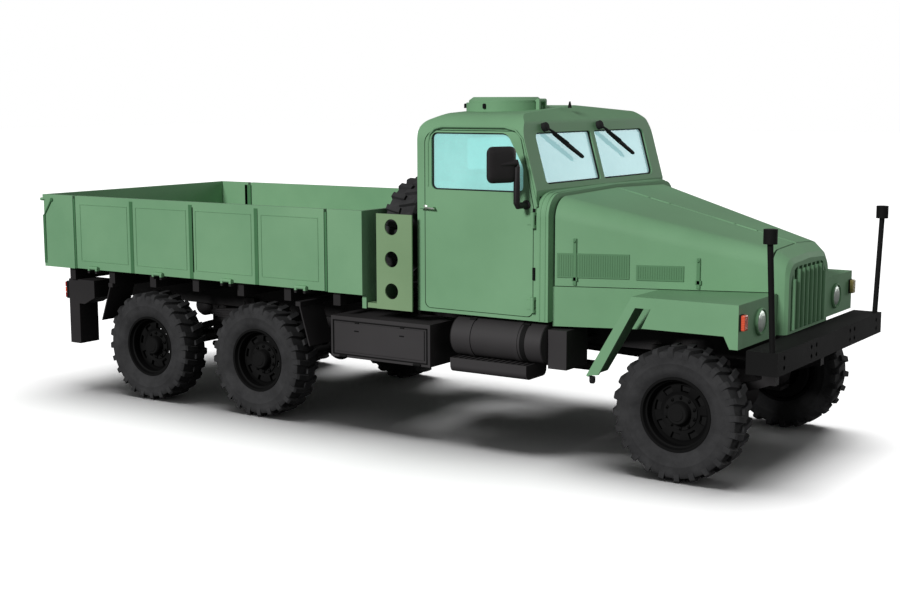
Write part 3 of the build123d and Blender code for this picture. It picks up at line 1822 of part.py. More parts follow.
wheel_plane = Plane(origin=wheel_centre, x_dir=(0, 1, 0), z_dir=column_way)
ring_face = RegularPolygon(steering_radius, wheel_sides) - RegularPolygon(
    steering_radius - steering_tube,
    wheel_sides,
)
ring = extrude(ring_face, amount=steering_tube / 2, both=True)
spoke_reach = steering_radius - steering_tube / 2
steering = ring + extrude(Circle(2 * steering_tube), amount=hub_length / 2, both=True)
for angle in (0, 120, 240):
    spoke = Pos(spoke_reach / 2, 0, 0) * Box(spoke_reach, steering_tube, steering_tube / 2)
    steering += Rot(0, 0, angle + 90) * spoke
save("steering_wheel", wheel_plane * steering)


def seat(middle_y, half):
    """Cushion on a base box with a leaning back."""
    front_x, rear_x = behind(seat_front_back), behind(seat_rear_back)
    floor_top = cab_floor_z + floor_thickness
    form = side_solid(
        [
            (front_x, seat_low_z, arm_width / 2),
            (front_x, seat_top_z, arm_width),
            (rear_x + seat_back_thickness, seat_top_z),
            (rear_x + seat_back_thickness - arm_width, seat_back_top_z, arm_width),
            (rear_x - arm_width, seat_back_top_z, arm_width),
            (rear_x, seat_low_z),
        ],
        middle_y - half,
        middle_y + half,
    )
    return form + block(
        rear_x + seat_base_inset,
        front_x - seat_base_inset,
        middle_y - half + seat_base_inset,
        middle_y + half - seat_base_inset,
        floor_top,
        seat_low_z,
    )


save("seats", seat(driver_seat_y, driver_half_width), seat(bench_y, bench_half_width))

# Mirrors on bent arms that stand on the doors, ahead of the side windows.
mirror_y = cab_half_width + mirror_reach
mirror_arm_y = cab_half_width + mirror_arm_reach
mirror_place = Pos(behind(mirror_back), -mirror_y, mirror_z) * Rot(0, 0, -mirror_turn_deg)
head = mirror_place * Box(mirror_thickness, mirror_width, mirror_height)
mirror_arm_x = behind(mirror_arm_back)
mirror_foot_y = -cab_half_width - seat_gap
arm_base = (mirror_arm_x, mirror_foot_y - mirror_base_thickness, mirror_foot_z)
arm_foot = (mirror_arm_x, mirror_foot_y, mirror_foot_z)
arm_bend = (mirror_arm_x, -mirror_arm_y, mirror_foot_z)
arm_top = (mirror_arm_x, -mirror_arm_y, mirror_z)
mirror_arm = rod(arm_foot, arm_base, mirror_base_radius) + rod(arm_foot, arm_bend, mirror_arm_radius)
mirror_arm += rod(arm_bend, arm_top, mirror_arm_radius)
mirror_arm += Pos(*arm_bend) * Sphere(mirror_arm_radius) + Pos(*arm_top) * Sphere(mirror_arm_radius)
mirror_arm += rod(arm_top, (behind(mirror_back), -mirror_y, mirror_z), mirror_arm_radius)
save("mirror_right", head + mirror_arm)
save("mirror_left", Pos(-far_mirror_set_back, 0, 0) * left_of(head + mirror_arm))

# Wipers: a small motor box over each pane and a straight blade across it.
wiper_rows = [
    (right_wiper_pivot_y, right_wiper_pivot_y + wiper_run),
    (left_wiper_pivot_y, left_wiper_pivot_y + wiper_run),
]
wipers = []
wiper_top_z = screen_high_z + wiper_box
wiper_low_z = wiper_top_z - wiper_height
for pivot_y, tip_y in wiper_rows:
    top_x = screen_x(wiper_top_z, 0)
    low_x = screen_x(wiper_low_z, 0) + wiper_radius + seat_gap
    motor = side_solid(
        [
            (top_x, wiper_top_z - wiper_box / 2),
            (top_x + wiper_box, wiper_top_z - wiper_box / 2),
            (top_x + wiper_box, wiper_top_z + wiper_box / 2),
            (top_x, wiper_top_z + wiper_box / 2),
        ],
        pivot_y - wiper_box / 2,
        pivot_y + wiper_box / 2,
    ) - cab_outer
    blade = rod((top_x + wiper_box / 2, pivot_y, wiper_top_z), (low_x, tip_y, wiper_low_z), wiper_radius)
    wipers.append(motor + blade)
save("wipers", *wipers)
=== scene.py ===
import bmesh
import bpy
import math
from mathutils import Matrix, Vector


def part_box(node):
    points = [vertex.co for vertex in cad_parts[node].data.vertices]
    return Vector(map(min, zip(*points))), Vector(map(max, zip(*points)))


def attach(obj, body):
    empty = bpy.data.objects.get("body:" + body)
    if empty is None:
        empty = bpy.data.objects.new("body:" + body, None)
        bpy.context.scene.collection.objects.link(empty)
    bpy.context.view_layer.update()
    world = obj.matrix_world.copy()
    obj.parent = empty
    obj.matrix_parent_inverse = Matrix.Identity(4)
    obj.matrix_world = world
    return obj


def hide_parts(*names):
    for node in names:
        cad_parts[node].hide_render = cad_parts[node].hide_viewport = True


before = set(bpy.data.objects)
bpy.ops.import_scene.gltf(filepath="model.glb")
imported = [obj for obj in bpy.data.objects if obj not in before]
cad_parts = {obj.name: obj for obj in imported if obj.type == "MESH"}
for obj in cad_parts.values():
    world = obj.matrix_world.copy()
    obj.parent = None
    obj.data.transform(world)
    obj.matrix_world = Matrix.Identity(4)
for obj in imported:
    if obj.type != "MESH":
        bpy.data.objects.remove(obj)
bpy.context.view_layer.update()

# Studio. A long lens stands at the right front of the truck, a little above its bonnet, looking slightly down.
# The place and the lens were solved from wheels, bed and cab in the photograph.
eye = Vector((6.887, -10.017, 2.653))
look_turn = math.radians(33.76)
look_down = math.radians(8.03)
look_tilt = math.radians(-0.14)
back = Vector(
    (math.sin(look_turn) * math.cos(look_down), -math.cos(look_turn) * math.cos(look_down), math.sin(look_down)),
)
level = Vector((math.cos(look_turn), math.sin(look_turn), 0))
upward = back.cross(level)
side_way = level * math.cos(look_tilt) + upward * math.sin(look_tilt)
up_way = upward * math.cos(look_tilt) - level * math.sin(look_tilt)
lens = bpy.data.cameras.new("camera")
lens.sensor_width = 36
lens.lens = 57.44
lens.shift_x = -0.0003
lens.shift_y = -0.0015
camera = bpy.data.objects.new("camera", lens)
camera.matrix_world = Matrix.Translation(eye) @ Matrix((side_way, up_way, back)).transposed().to_4x4()
bpy.context.scene.collection.objects.link(camera)
bpy.context.scene.camera = camera
bpy.context.scene.view_settings.view_transform = "Standard"

# White studio: the air behind the truck shows plain white to the camera and through glass, while the light it
# gives stays low. The floor is white paper to the camera and keeps the truck's soft shadow; it throws little
# light back on the truck.
sky_strength = 0.13
mirrored_strength = 0.35
floor_reach = 90


def hex_colour(code):
    """Colour of a #rrggbb code, turned from sRGB to linear light."""
    parts = [int(code[i : i + 2], 16) / 255 for i in (1, 3, 5)]
    return [p / 12.92 if p <= 0.04045 else ((p + 0.055) / 1.055) ** 2.4 for p in parts] + [1]


def add(tree, kind, values=None, links=None, ramp=(), **settings):
    """One node with its sockets' values, the sockets that feed it, the stops of its colour ramp and its settings."""
    node = tree.nodes.new(kind)
    for key, value in settings.items():
        setattr(node, key, value)
    for socket, value in (values or {}).items():
        node.inputs[socket].default_value = value
    for socket, source in (links or {}).items():
        tree.links.new(source, node.inputs[socket])
    if ramp:
        for stop, (position, code) in zip(node.color_ramp.elements, ramp):
            stop.position = position
            stop.color = hex_colour(code)
    return node


world = bpy.data.worlds.new("studio")
world.use_nodes = True
bpy.context.scene.world = world
tree = world.node_tree
tree.nodes.clear()
path = add(tree, "ShaderNodeLightPath")
seen = add(
    tree,
    "ShaderNodeMath",
    None,
    {0: path.outputs["Is Camera Ray"], 1: path.outputs["Is Transmission Ray"]},
    operation="MAXIMUM",
)
plain, mirrored, white = [
    add(tree, "ShaderNodeBackground", {"Color": hex_colour("#ffffff"), "Strength": strength})
    for strength in (sky_strength, mirrored_strength, 1)
]
either = add(
    tree,
    "ShaderNodeMixShader",
    None,
    {0: path.outputs["Is Glossy Ray"], 1: plain.outputs[0], 2: mirrored.outputs[0]},
)
either = add(tree, "ShaderNodeMixShader", None, {0: seen.outputs[0], 1: either.outputs[0], 2: white.outputs[0]})
add(tree, "ShaderNodeOutputWorld", None, {"Surface": either.outputs[0]})

floor_mesh = bpy.data.meshes.new("studio_floor")
corners = [
    (-floor_reach, -floor_reach, 0),
    (floor_reach, -floor_reach, 0),
    (floor_reach, floor_reach, 0),
    (-floor_reach, floor_reach, 0),
]
floor_mesh.from_pydata(corners, [], [(0, 1, 2, 3)])
floor = bpy.data.objects.new("studio_floor", floor_mesh)
bpy.context.scene.collection.objects.link(floor)
paper = bpy.data.materials.new("matt_white_paper")
paper.use_nodes = True
tree = paper.node_tree
tree.nodes.clear()
path = add(tree, "ShaderNodeLightPath")
seen = add(
    tree,
    "ShaderNodeMath",
    None,
    {0: path.outputs["Is Camera Ray"], 1: path.outputs["Is Transmission Ray"]},
    operation="MAXIMUM",
)
bright = add(tree, "ShaderNodeBsdfDiffuse", {"Color": hex_colour("#f6f6f6")})
quiet = add(tree, "ShaderNodeBsdfDiffuse", {"Color": hex_colour("#5c5c5c")})
sheet = add(tree, "ShaderNodeMixShader", None, {0: seen.outputs[0], 1: quiet.outputs[0], 2: bright.outputs[0]})
add(tree, "ShaderNodeOutputMaterial", None, {"Surface": sheet.outputs[0]})
floor_mesh.materials.append(paper)

# Lamps: a broad lamp on the truck's right, a soft one overhead, weaker ones from its left and its front, so that
# sides are bright, tops quieter and ends in gentle shade. A wide lamp of its own lights the floor from above.
truck_lit = bpy.data.collections.new("all_but_the_floor")
truck_lit.objects.link(floor)
truck_lit.collection_objects[0].light_linking.link_state = "EXCLUDE"
floor_lit = bpy.data.collections.new("floor_alone")
floor_lit.objects.link(floor)
for lamp_name, way, strength, spread_deg, lit in (
    ("side_lamp", (0.06, 0.90, -0.42), 2.65, 12, truck_lit),
    ("overhead_lamp", (0.05, -0.15, -1.0), 0.12, 55, truck_lit),
    ("far_side_lamp", (-0.35, -0.90, -0.20), 0.7, 30, truck_lit),
    ("front_lamp", (-0.95, 0.20, -0.15), 0.22, 40, truck_lit),
    ("floor_lamp", (0.05, -0.20, -1.0), 3.9, 54, floor_lit),
):
    sun = bpy.data.lights.new(lamp_name, "SUN")
    sun.energy = strength
    sun.angle = math.radians(spread_deg)
    lamp = bpy.data.objects.new(lamp_name, sun)
    lamp.rotation_mode = "QUATERNION"
    lamp.rotation_quaternion = Vector(way).to_track_quat("-Z", "Y")
    lamp.light_linking.receiver_collection = lit
    bpy.context.scene.collection.objects.link(lamp)


# Cab, cowl, bonnet, nose and fenders: pressed steel under a satin olive enamel, sprayed and air dried.
# The enamel shows a soft sheen, faint clouds of tone where the coats overlap, and a fine orange peel.
peel_mm = 9
cloud_mm = 900


def new_finish(name, values):
    """New material with its node tree, its shader with some values set, and places on the truck in metres."""
    material = bpy.data.materials.new(name)
    material.use_nodes = True
    tree = material.node_tree
    shader = tree.nodes["Principled BSDF"]
    for socket, value in values.items():
        shader.inputs[socket].default_value = value
    return material, tree, shader, add(tree, "ShaderNodeTexCoord").outputs["Object"]


def feed(node, links):
    """Links that feed a node's sockets."""
    for socket, source in links.items():
        node.id_data.links.new(source, node.inputs[socket])


def sprayed_paint(name, shade, light, roughness, specular=0.3):
    """Sprayed paint: two close tones in clouds, an uneven sheen and an orange peel drawn coarse enough to show."""
    material, tree, shader, place = new_finish(name, {"IOR": 1.5, "Specular IOR Level": specular})
    clouds = add(
        tree,
        "ShaderNodeTexNoise",
        {"Scale": 1000 / cloud_mm, "Detail": 6, "Roughness": 0.55},
        {"Vector": place},
    )
    tones = add(tree, "ShaderNodeValToRGB", None, {"Fac": clouds.outputs["Fac"]}, ramp=((0.32, shade), (0.68, light)))
    spread = {"From Min": 0.3, "From Max": 0.7, "To Min": roughness - 0.05, "To Max": roughness + 0.07}
    sheen = add(tree, "ShaderNodeMapRange", spread, {"Value": clouds.outputs["Fac"]})
    peel = add(tree, "ShaderNodeTexNoise", {"Scale": 1000 / peel_mm, "Detail": 3}, {"Vector": place})
    bump = add(tree, "ShaderNodeBump", {"Strength": 0.12, "Distance": 0.0006}, {"Height": peel.outputs["Fac"]})
    feed(shader, {"Base Color": tones.outputs["Color"], "Roughness": sheen.outputs[0], "Normal": bump.outputs[0]})
    return material


def finish_nodes(material, *nodes):
    """Gives CAD nodes their finish."""
    for name in nodes:
        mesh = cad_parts[name].data
        mesh.materials.clear()
        mesh.materials.append(material)


olive_enamel = sprayed_paint("satin_olive_enamel", "#729d77", "#7ca881", 0.58, specular=0.15)
finish_nodes(
    olive_enamel,
    "cab_frame",
    "cab_rear_wall",
    "cab_roof",
    "cab_floor",
    "door_right",
    "door_left",
    "roof_hatch",
)
finish_nodes(olive_enamel, "cowl", "bonnet_sides", "bonnet_lid_right", "bonnet_lid_left", "nose_shell", "grille")
finish_nodes(olive_enamel, "front_fenders")

# Load bed: folded steel boards and floor under the same olive enamel, a little flatter from wear.
# Its bearers and hinge ears, below the boards, were painted black with the chassis.
bearer_top_z = 1.118


def part_painted(material, name, axis, edge, code):
    """Copy of a paint that turns to another colour where the distance along an axis is below an edge."""
    copy = material.copy()
    copy.name = name
    tree = copy.node_tree
    shader = tree.nodes["Principled BSDF"]
    place = add(tree, "ShaderNodeSeparateXYZ", None, {0: add(tree, "ShaderNodeTexCoord").outputs["Object"]})
    away = add(tree, "ShaderNodeMath", None, {0: place.outputs[axis]}, operation="ABSOLUTE")
    below = add(tree, "ShaderNodeMath", {1: edge}, {0: away.outputs[0]}, operation="LESS_THAN")
    tones = shader.inputs["Base Color"].links[0].from_socket
    mix = add(
        tree,
        "ShaderNodeMix",
        {"B": hex_colour(code)},
        {"Factor": below.outputs[0], "A": tones},
        data_type="RGBA",
    )
    feed(shader, {"Base Color": mix.outputs[2]})
    return copy


bed_enamel = sprayed_paint("flat_olive_enamel", "#6f9b75", "#7ba67f", 0.55)
finish_nodes(bed_enamel, "bed_front_board", "bed_corners", "side_board_right", "side_board_left", "tailgate")
bearer_enamel = part_painted(bed_enamel, "flat_olive_enamel_over_black_bearers", "Z", bearer_top_z, "#1f1d1e")
finish_nodes(bearer_enamel, "bed_floor")

# Chassis: rails, axles, springs, brackets and boxes of rolled and pressed steel under a thick matt black paint.
# Dust makes it dull; the boxes are greyer, and the bumper is a deeper black.
chassis_paint = sprayed_paint("matt_black_chassis_paint", "#201e1f", "#292728", 0.66)
finish_nodes(
    chassis_paint,
    "frame_rails",
    "rear_hangers",
    "axles",
    "leaf_springs",
    "driveline",
    "tow_coupling",
    "exhaust",
)
finish_nodes(chassis_paint, "knuckle_right", "knuckle_left", "radiator", "engine_block")
box_paint = sprayed_paint("dark_grey_box_paint", "#2e2c2d", "#373536", 0.64)
finish_nodes(box_paint, "equipment_boxes", "fuel_tanks")
bumper_paint = sprayed_paint("satin_black_bumper_paint", "#101010", "#171717", 0.7, specular=0.1)
finish_nodes(bumper_paint, "front_bumper", "wipers")

# Spare wheel carrier: a black steel beam and post, with a pressed end plate at each side of the truck.
# The plates have three round holes and a yellower olive enamel.
carrier_plate_y = 1.06
carrier_enamel = sprayed_paint("yellow_olive_enamel", "#76946d", "#809d76", 0.5)
carrier_enamel = part_painted(carrier_enamel, "yellow_olive_enamel_beside_black", "Y", carrier_plate_y, "#1c1b1b")
finish_nodes(carrier_enamel, "spare_carrier")

# Tyres: cross-country tyres of carbon-filled natural rubber, vulcanised in a mould.
# The mould leaves leaning lugs in two staggered rows and low rings on the walls; old rubber is a dull dark grey.
rubber_grit_mm = 14
rubber_dust_mm = 160


class Form:
    """Points and faces of one mesh, gathered shape by shape, in metres."""

    def __init__(self):
        self.points = []
        self.faces = []

    def skin(self, rings, closed=False):
        """Surface over rings that have as many points each. It is capped at both ends, or closed into a loop."""
        start, count = len(self.points), len(rings[0])
        for ring in rings:
            self.points += [tuple(point) for point in ring]
        for i in range(len(rings) if closed else len(rings) - 1):
            near, far = start + i * count, start + (i + 1) % len(rings) * count
            for j in range(count):
                k = (j + 1) % count
                self.faces.append((near + j, near + k, far + k, far + j))
        if not closed:
            self.faces.append(tuple(start + j for j in range(count)))
            self.faces.append(tuple(start + (len(rings) - 1) * count + j for j in range(count)))

    def box(self, low, high):
        """Block between two corners, given in any order."""
        low, high = zip(*(sorted(pair) for pair in zip(low, high)))
        sole = [(low[0], low[1]), (high[0], low[1]), (high[0], high[1]), (low[0], high[1])]
        self.skin([[(x, y, z) for x, y in sole] for z in (low[2], high[2])])

    def rod(self, line, radius, sides=14):
        """Round bar that follows a line of points."""
        line = [Vector(point) for point in line]
        way = (line[1] - line[0]).normalized()
        across = way.orthogonal().normalized()
        rings = []
        for i, point in enumerate(line):
            turned_way = (line[min(i + 1, len(line) - 1)] - line[max(i - 1, 0)]).normalized()
            across = way.rotation_difference(turned_way) @ across
            way = turned_way
            other = way.cross(across)
            angles = [2 * math.pi * j / sides for j in range(sides)]
            rings.append([point + (across * math.cos(a) + other * math.sin(a)) * radius for a in angles])
        self.skin(rings)

    def turned(self, profile, centre, axis, steps=64, closed=False):
        """Profile of (place along the axis, radius) points, turned about an axis through the centre."""
        axis = Vector(axis).normalized()
        across = axis.orthogonal().normalized()
        other = axis.cross(across)
        rings = []
        for along, radius in profile:
            ring = []
            for j in range(steps):
                a = 2 * math.pi * j / steps
                ring.append(Vector(centre) + axis * along + (across * math.cos(a) + other * math.sin(a)) * radius)
            rings.append(ring)
        self.skin(rings, closed)

    def moved(self, centre, quarter_turn=False):
        """The same form about another centre, with its Y axis turned to the X axis for the spare wheel."""
        if quarter_turn:
            self.points = [(-y, x, z) for x, y, z in self.points]
        self.points = [Vector(point) + centre for point in self.points]
        return self

    def made(self, name, material, body, stands_for=(), smooth_deg=35, bevel=0.0):
        """The finished piece, riding on a body of the truck."""
        mesh = bpy.data.meshes.new(name)
        mesh.from_pydata(self.points, [], self.faces)
        work = bmesh.new()
        work.from_mesh(mesh)
        bmesh.ops.recalc_face_normals(work, faces=work.faces)
        work.to_mesh(mesh)
        work.free()
        mesh.shade_smooth()
        mesh.set_sharp_from_angle(angle=math.radians(smooth_deg))
        mesh.materials.append(material)
        piece = bpy.data.objects.new(name, mesh)
        bpy.context.scene.collection.objects.link(piece)
        if bevel:
            edges = piece.modifiers.new("soft_edges", "BEVEL")
            edges.width = bevel
            edges.segments = 2
            edges.limit_method = "ANGLE"
        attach(piece, body)
        if stands_for:
            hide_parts(*stands_for)
        return piece


def dull_rubber(name, shade, light):
    """Old rubber: soot grey with paler dusty clouds and a gritty skin."""
    material, tree, shader, place = new_finish(name, {"IOR": 1.52, "Specular IOR Level": 0.2, "Roughness": 0.88})
    cloud = {"Scale": 1000 / rubber_dust_mm, "Detail": 8, "Roughness": 0.65}
    dust = add(tree, "ShaderNodeTexNoise", cloud, {"Vector": place})
    tones = add(tree, "ShaderNodeValToRGB", None, {"Fac": dust.outputs["Fac"]}, ramp=((0.35, shade), (0.72, light)))
    grit = add(tree, "ShaderNodeTexNoise", {"Scale": 1000 / rubber_grit_mm, "Detail": 5}, {"Vector": place})
    bump = add(tree, "ShaderNodeBump", {"Strength": 0.35, "Distance": 0.002}, {"Height": grit.outputs["Fac"]})
    feed(shader, {"Base Color": tones.outputs["Color"], "Normal": bump.outputs[0]})
    return material


tyre_rubber = dull_rubber("vulcanised_tyre_rubber", "#2a2a2b", "#3c3c3d")
tyre_low, tyre_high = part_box("tyre_front_right")
tyre_radius = (tyre_high.z - tyre_low.z) / 2
tyre_half = (tyre_high.y - tyre_low.y) / 2
rim_low, rim_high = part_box("rim_front_right")
rim_radius = (rim_high.z - rim_low.z) / 2
lug_count = 24
lug_height = 0.024
lug_half_deg = 2.9
lug_lean_deg = 4.2
wall_mark_radius = 0.36


def tyre_form(outward):
    """Tyre about the Y axis at the origin; outward is the side on which its lugs lead."""
    form = Form()
    base = tyre_radius - lug_height
    half_profile = [
        (tyre_half * 0.70, rim_radius - 0.014),
        (tyre_half * 0.76, rim_radius + 0.004),
        (tyre_half * 0.90, rim_radius + 0.020),
        (tyre_half * 0.985, rim_radius + 0.058),
        (tyre_half * 0.985, wall_mark_radius - 0.004),
        (tyre_half * 1.0, wall_mark_radius),
        (tyre_half * 1.0, wall_mark_radius + 0.005),
        (tyre_half * 0.985, wall_mark_radius + 0.009),
        (tyre_half * 0.985, base - 0.050),
        (tyre_half * 0.95, base - 0.022),
        (tyre_half * 0.86, base - 0.006),
        (tyre_half * 0.45, base),
    ]
    profile = [(-y, radius) for y, radius in half_profile] + [(y, radius) for y, radius in reversed(half_profile)]
    form.turned(profile, (0, 0, 0), (0, 1, 0), steps=96, closed=True)
    tip = tyre_radius
    sections = [
        (-0.012, tip - 0.002, base - 0.006, 0.0),
        (0.0, tip, base - 0.006, 0.06),
        (tyre_half * 0.45, tip, base - 0.006, 0.42),
        (tyre_half * 0.84, tip - 0.001, base - 0.012, 0.86),
        (tyre_half * 0.955, tip - 0.014, base - 0.030, 0.97),
        (tyre_half * 0.995, tip - 0.036, base - 0.046, 1.0),
        (tyre_half * 0.985, tip - 0.048, base - 0.048, 1.0),
    ]
    for index in range(lug_count * 2):
        row = outward if index % 2 == 0 else -outward
        middle = index * 180 / lug_count
        rings = []
        for y, top, foot, lean_share in sections:
            ring = []
            for radius, spread in ((foot, 1.15), (top, 0.86), (top, -0.86), (foot, -1.15)):
                turn = math.radians(middle + outward * lug_lean_deg * lean_share + lug_half_deg * spread)
                ring.append((radius * math.sin(turn), row * y, radius * math.cos(turn)))
            rings.append(ring)
        form.skin(rings)
    return form


def wheel_centre(node):
    """Middle of a wheel's or tyre's node."""
    low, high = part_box(node)
    return (low + high) / 2


sides = (("right", -1), ("left", 1))
wheel_table = [(station + "_" + side, outward) for station in ("front", "middle", "rear") for side, outward in sides]
for name, outward in wheel_table:
    form = tyre_form(outward).moved(wheel_centre("tyre_" + name))
    form.made("tyre_skin_" + name, tyre_rubber, "wheel_" + name, ("tyre_" + name,))
spare_centre = wheel_centre("spare_tyre")
tyre_form(1).moved(spare_centre, True).made("spare_tyre_skin", tyre_rubber, "chassis", ("spare_tyre",))

# Wheel discs: pressed steel, welded to the rolled rim and stove-enamelled black.
# The deep dish has oval hand holes round the hub and ten nuts on studs; the enamel is dusty, so it barely shines.
rim_enamel = sprayed_paint("dusty_black_wheel_enamel", "#090909", "#111111", 0.75, specular=0.1)
hub_enamel = sprayed_paint("greasy_black_hub_paint", "#0c0c0c", "#151515", 0.7, specular=0.12)
rim_half = (rim_high.y - rim_low.y) / 2
disc_steps = 96
disc_holes = 8
hole_share = 0.5
nut_count = 10
nut_circle = 0.108
nut_radius = 0.013
hub_radius = 0.080
hub_proud = 0.090
drum_radius = 0.230
drum_inner = 0.152
drum_depth = 0.130


def wheel_form(outward):
    """Rim and dished disc about the Y axis at the origin."""
    form = Form()
    rim_profile = [
        (-rim_half, rim_radius - 0.018),
        (-rim_half, rim_radius),
        (-rim_half + 0.008, rim_radius),
        (-rim_half + 0.012, rim_radius - 0.010),
        (0.0, rim_radius - 0.014),
        (rim_half - 0.012, rim_radius - 0.010),
        (rim_half - 0.008, rim_radius),
        (rim_half, rim_radius),
        (rim_half, rim_radius - 0.018),
        (rim_half * 0.72, rim_radius - 0.026),
        (rim_half * 0.66, rim_radius - 0.036),
        (-rim_half * 0.72, rim_radius - 0.036),
    ]
    form.turned([(outward * y, radius) for y, radius in rim_profile], (0, 0, 0), (0, 1, 0), disc_steps, closed=True)
    stations = [
        (0.006, 0.229),
        (0.012, 0.205),
        (0.020, 0.196),
        (0.022, 0.150),
        (0.016, 0.140),
        (0.010, 0.126),
        (0.010, 0.074),
    ]
    plate = 0.010
    start = len(form.points)
    for face in (0, 1):
        for y, radius in stations:
            for step in range(disc_steps):
                turn = 2 * math.pi * step / disc_steps
                form.points.append((radius * math.sin(turn), outward * (y - face * plate), radius * math.cos(turn)))
    rows = len(stations)
    hole_row = 2
    pitch = disc_steps // disc_holes

    def point(face, row, step):
        return start + (face * rows + row) * disc_steps + step % disc_steps

    def is_hole(row, step):
        return row == hole_row and step % pitch < pitch * hole_share

    for step in range(disc_steps):
        for row in range(rows - 1):
            if is_hole(row, step):
                for r in (row, row + 1):
                    form.faces.append(
                        (point(0, r, step), point(0, r, step + 1), point(1, r, step + 1), point(1, r, step)),
                    )
                for s, neighbour in ((step, step - 1), (step + 1, step + 1)):
                    if not is_hole(row, neighbour):
                        form.faces.append(
                            (point(0, row, s), point(0, row + 1, s), point(1, row + 1, s), point(1, row, s)),
                        )
                continue
            for face in (0, 1):
                form.faces.append(
                    (
                        point(face, row, step),
                        point(face, row, step + 1),
                        point(face, row + 1, step + 1),
                        point(face, row + 1, step),
                    ),
                )
    return form


def hub_form(outward):
    """Hub with its flange and cap, wheel nuts and the brake drum that shows through the hand holes."""
    form = Form()
    profile = [
        (-0.030, 0.060),
        (-0.030, hub_radius + 0.02),
        (0.014, hub_radius + 0.046),
        (0.020, hub_radius + 0.044),
        (0.022, hub_radius + 0.004),
        (0.060, hub_radius),
        (hub_proud - 0.012, hub_radius - 0.004),
        (hub_proud - 0.004, hub_radius - 0.012),
        (hub_proud - 0.004, hub_radius - 0.028),
        (hub_proud, hub_radius - 0.032),
        (hub_proud, 0.012),
    ]
    form.turned([(outward * y, radius) for y, radius in profile], (0, 0, 0), (0, 1, 0), 48)
    drum = [
        (-drum_depth, drum_inner),
        (-drum_depth, drum_radius - 0.01),
        (-drum_depth * 0.9, drum_radius),
        (-0.005, drum_radius),
        (-0.005, drum_inner),
    ]
    form.turned([(outward * y, radius) for y, radius in drum], (0, 0, 0), (0, 1, 0), 48, closed=True)
    nut = [(0, nut_radius), (0.016, nut_radius), (0.020, nut_radius * 0.6), (0.030, nut_radius * 0.5)]
    nut = [(outward * y, radius) for y, radius in nut]
    for index in range(nut_count):
        turn = 2 * math.pi * index / nut_count
        centre = (nut_circle * math.sin(turn), outward * 0.018, nut_circle * math.cos(turn))
        form.turned(nut, centre, (0, 1, 0), 6)
    return form


for name, outward in wheel_table:
    centre, body = wheel_centre("tyre_" + name), "wheel_" + name
    wheel_form(outward).moved(centre).made("wheel_disc_" + name, rim_enamel, body, ("rim_" + name,))
    hub_form(outward).moved(centre).made("hub_" + name, hub_enamel, body)
wheel_form(1).moved(spare_centre, True).made("spare_wheel_disc", rim_enamel, "chassis", ("spare_rim",))

# Louvres of the bonnet: pressed in two fields on each lid, so that hot air leaves the engine.
# Each blade is a lip of the same sheet; the fields are painted darker than the lid, a painted shade for the shadow
# between the blades.
louvre_painted_shade = sprayed_paint("louvre_painted_shade_enamel", "#557f5b", "#5f8a64", 0.5)
axle_x = wheel_centre("tyre_front_right").x
sides_low, sides_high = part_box("bonnet_sides")
nose_low, nose_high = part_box("nose_shell")
bonnet_taper = (sides_high.y - nose_high.y) / (nose_low.x - sides_low.x)
field_table = [(-1.020, -0.524, 1.346, 1.524), (-0.476, -0.157, 1.341, 1.451)]
field_root = 0.001
field_skin = 0.0085
blade_pitch = 0.0160
blade_width = 0.008
blade_lip = blade_width * 0.4
blade_proud = 0.0102
blade_inset = 0.006
blade_slope = 1.8
blade_start = 0.75


def bonnet_side(x, proud=0.0):
    """Distance of the bonnet's side, or of what stands proud of it, from the middle of the truck."""
    return sides_high.y - bonnet_taper * (x - sides_low.x) + proud


for side, sign in sides:
    form = Form()
    for behind_axle, before_axle, low_z, top_z in field_table:
        rear_x, front_x = axle_x + behind_axle, axle_x + before_axle
        edge = [(rear_x, low_z), (front_x, low_z), (front_x, top_z), (rear_x, top_z)]
        form.skin([[(x, sign * bonnet_side(x, proud), z) for x, z in edge] for proud in (-field_root, field_skin)])
        for index in range(round((front_x - rear_x) / blade_pitch) - 1):
            x = rear_x + blade_pitch * (index + blade_start)
            rings = []
            for end_z, inset in ((low_z, blade_inset), (top_z, -blade_inset)):
                feet = [(foot_x, sign * bonnet_side(x), end_z + inset) for foot_x in (x, x + blade_width)]
                rings.append(
                    feet + [(x + blade_lip, sign * bonnet_side(x, blade_proud), end_z + inset * blade_slope)],
                )
            form.skin(rings)
    form.made("louvres_" + side, louvre_painted_shade, "bonnet_lid_" + side, smooth_deg=20)

# Bonnet fasteners: two upright straps of pressed steel on each lid, each with a clamped toggle near its foot
# and a round pin at its top. They carry the louvres' darker paint, a painted shade.
strap_table = [(-0.897, 1.292, 1.632), (-0.060, 1.292, 1.511)]
strap_half = 0.013
strap_root = 0.004
strap_proud = 0.012
toggle_half = strap_half * 1.7
toggle_low = 0.03
toggle_top = 0.06
pin_radius = 0.009
pin_proud = 0.012
pin_drop = 0.02
for side, sign in sides:
    form = Form()
    for from_axle, low_z, top_z in strap_table:
        x = axle_x + from_axle
        root, face = sign * bonnet_side(x, -strap_root), sign * bonnet_side(x, strap_proud)
        form.box((x - strap_half, root, low_z), (x + strap_half, face, top_z))
        form.box((x - toggle_half, root, low_z + toggle_low), (x + toggle_half, face, low_z + toggle_top))
        form.rod([(x, face, top_z - pin_drop), (x, face + sign * pin_proud, top_z - pin_drop)], pin_radius)
    form.made("bonnet_straps_" + side, louvre_painted_shade, "bonnet_lid_" + side, bevel=0.002)

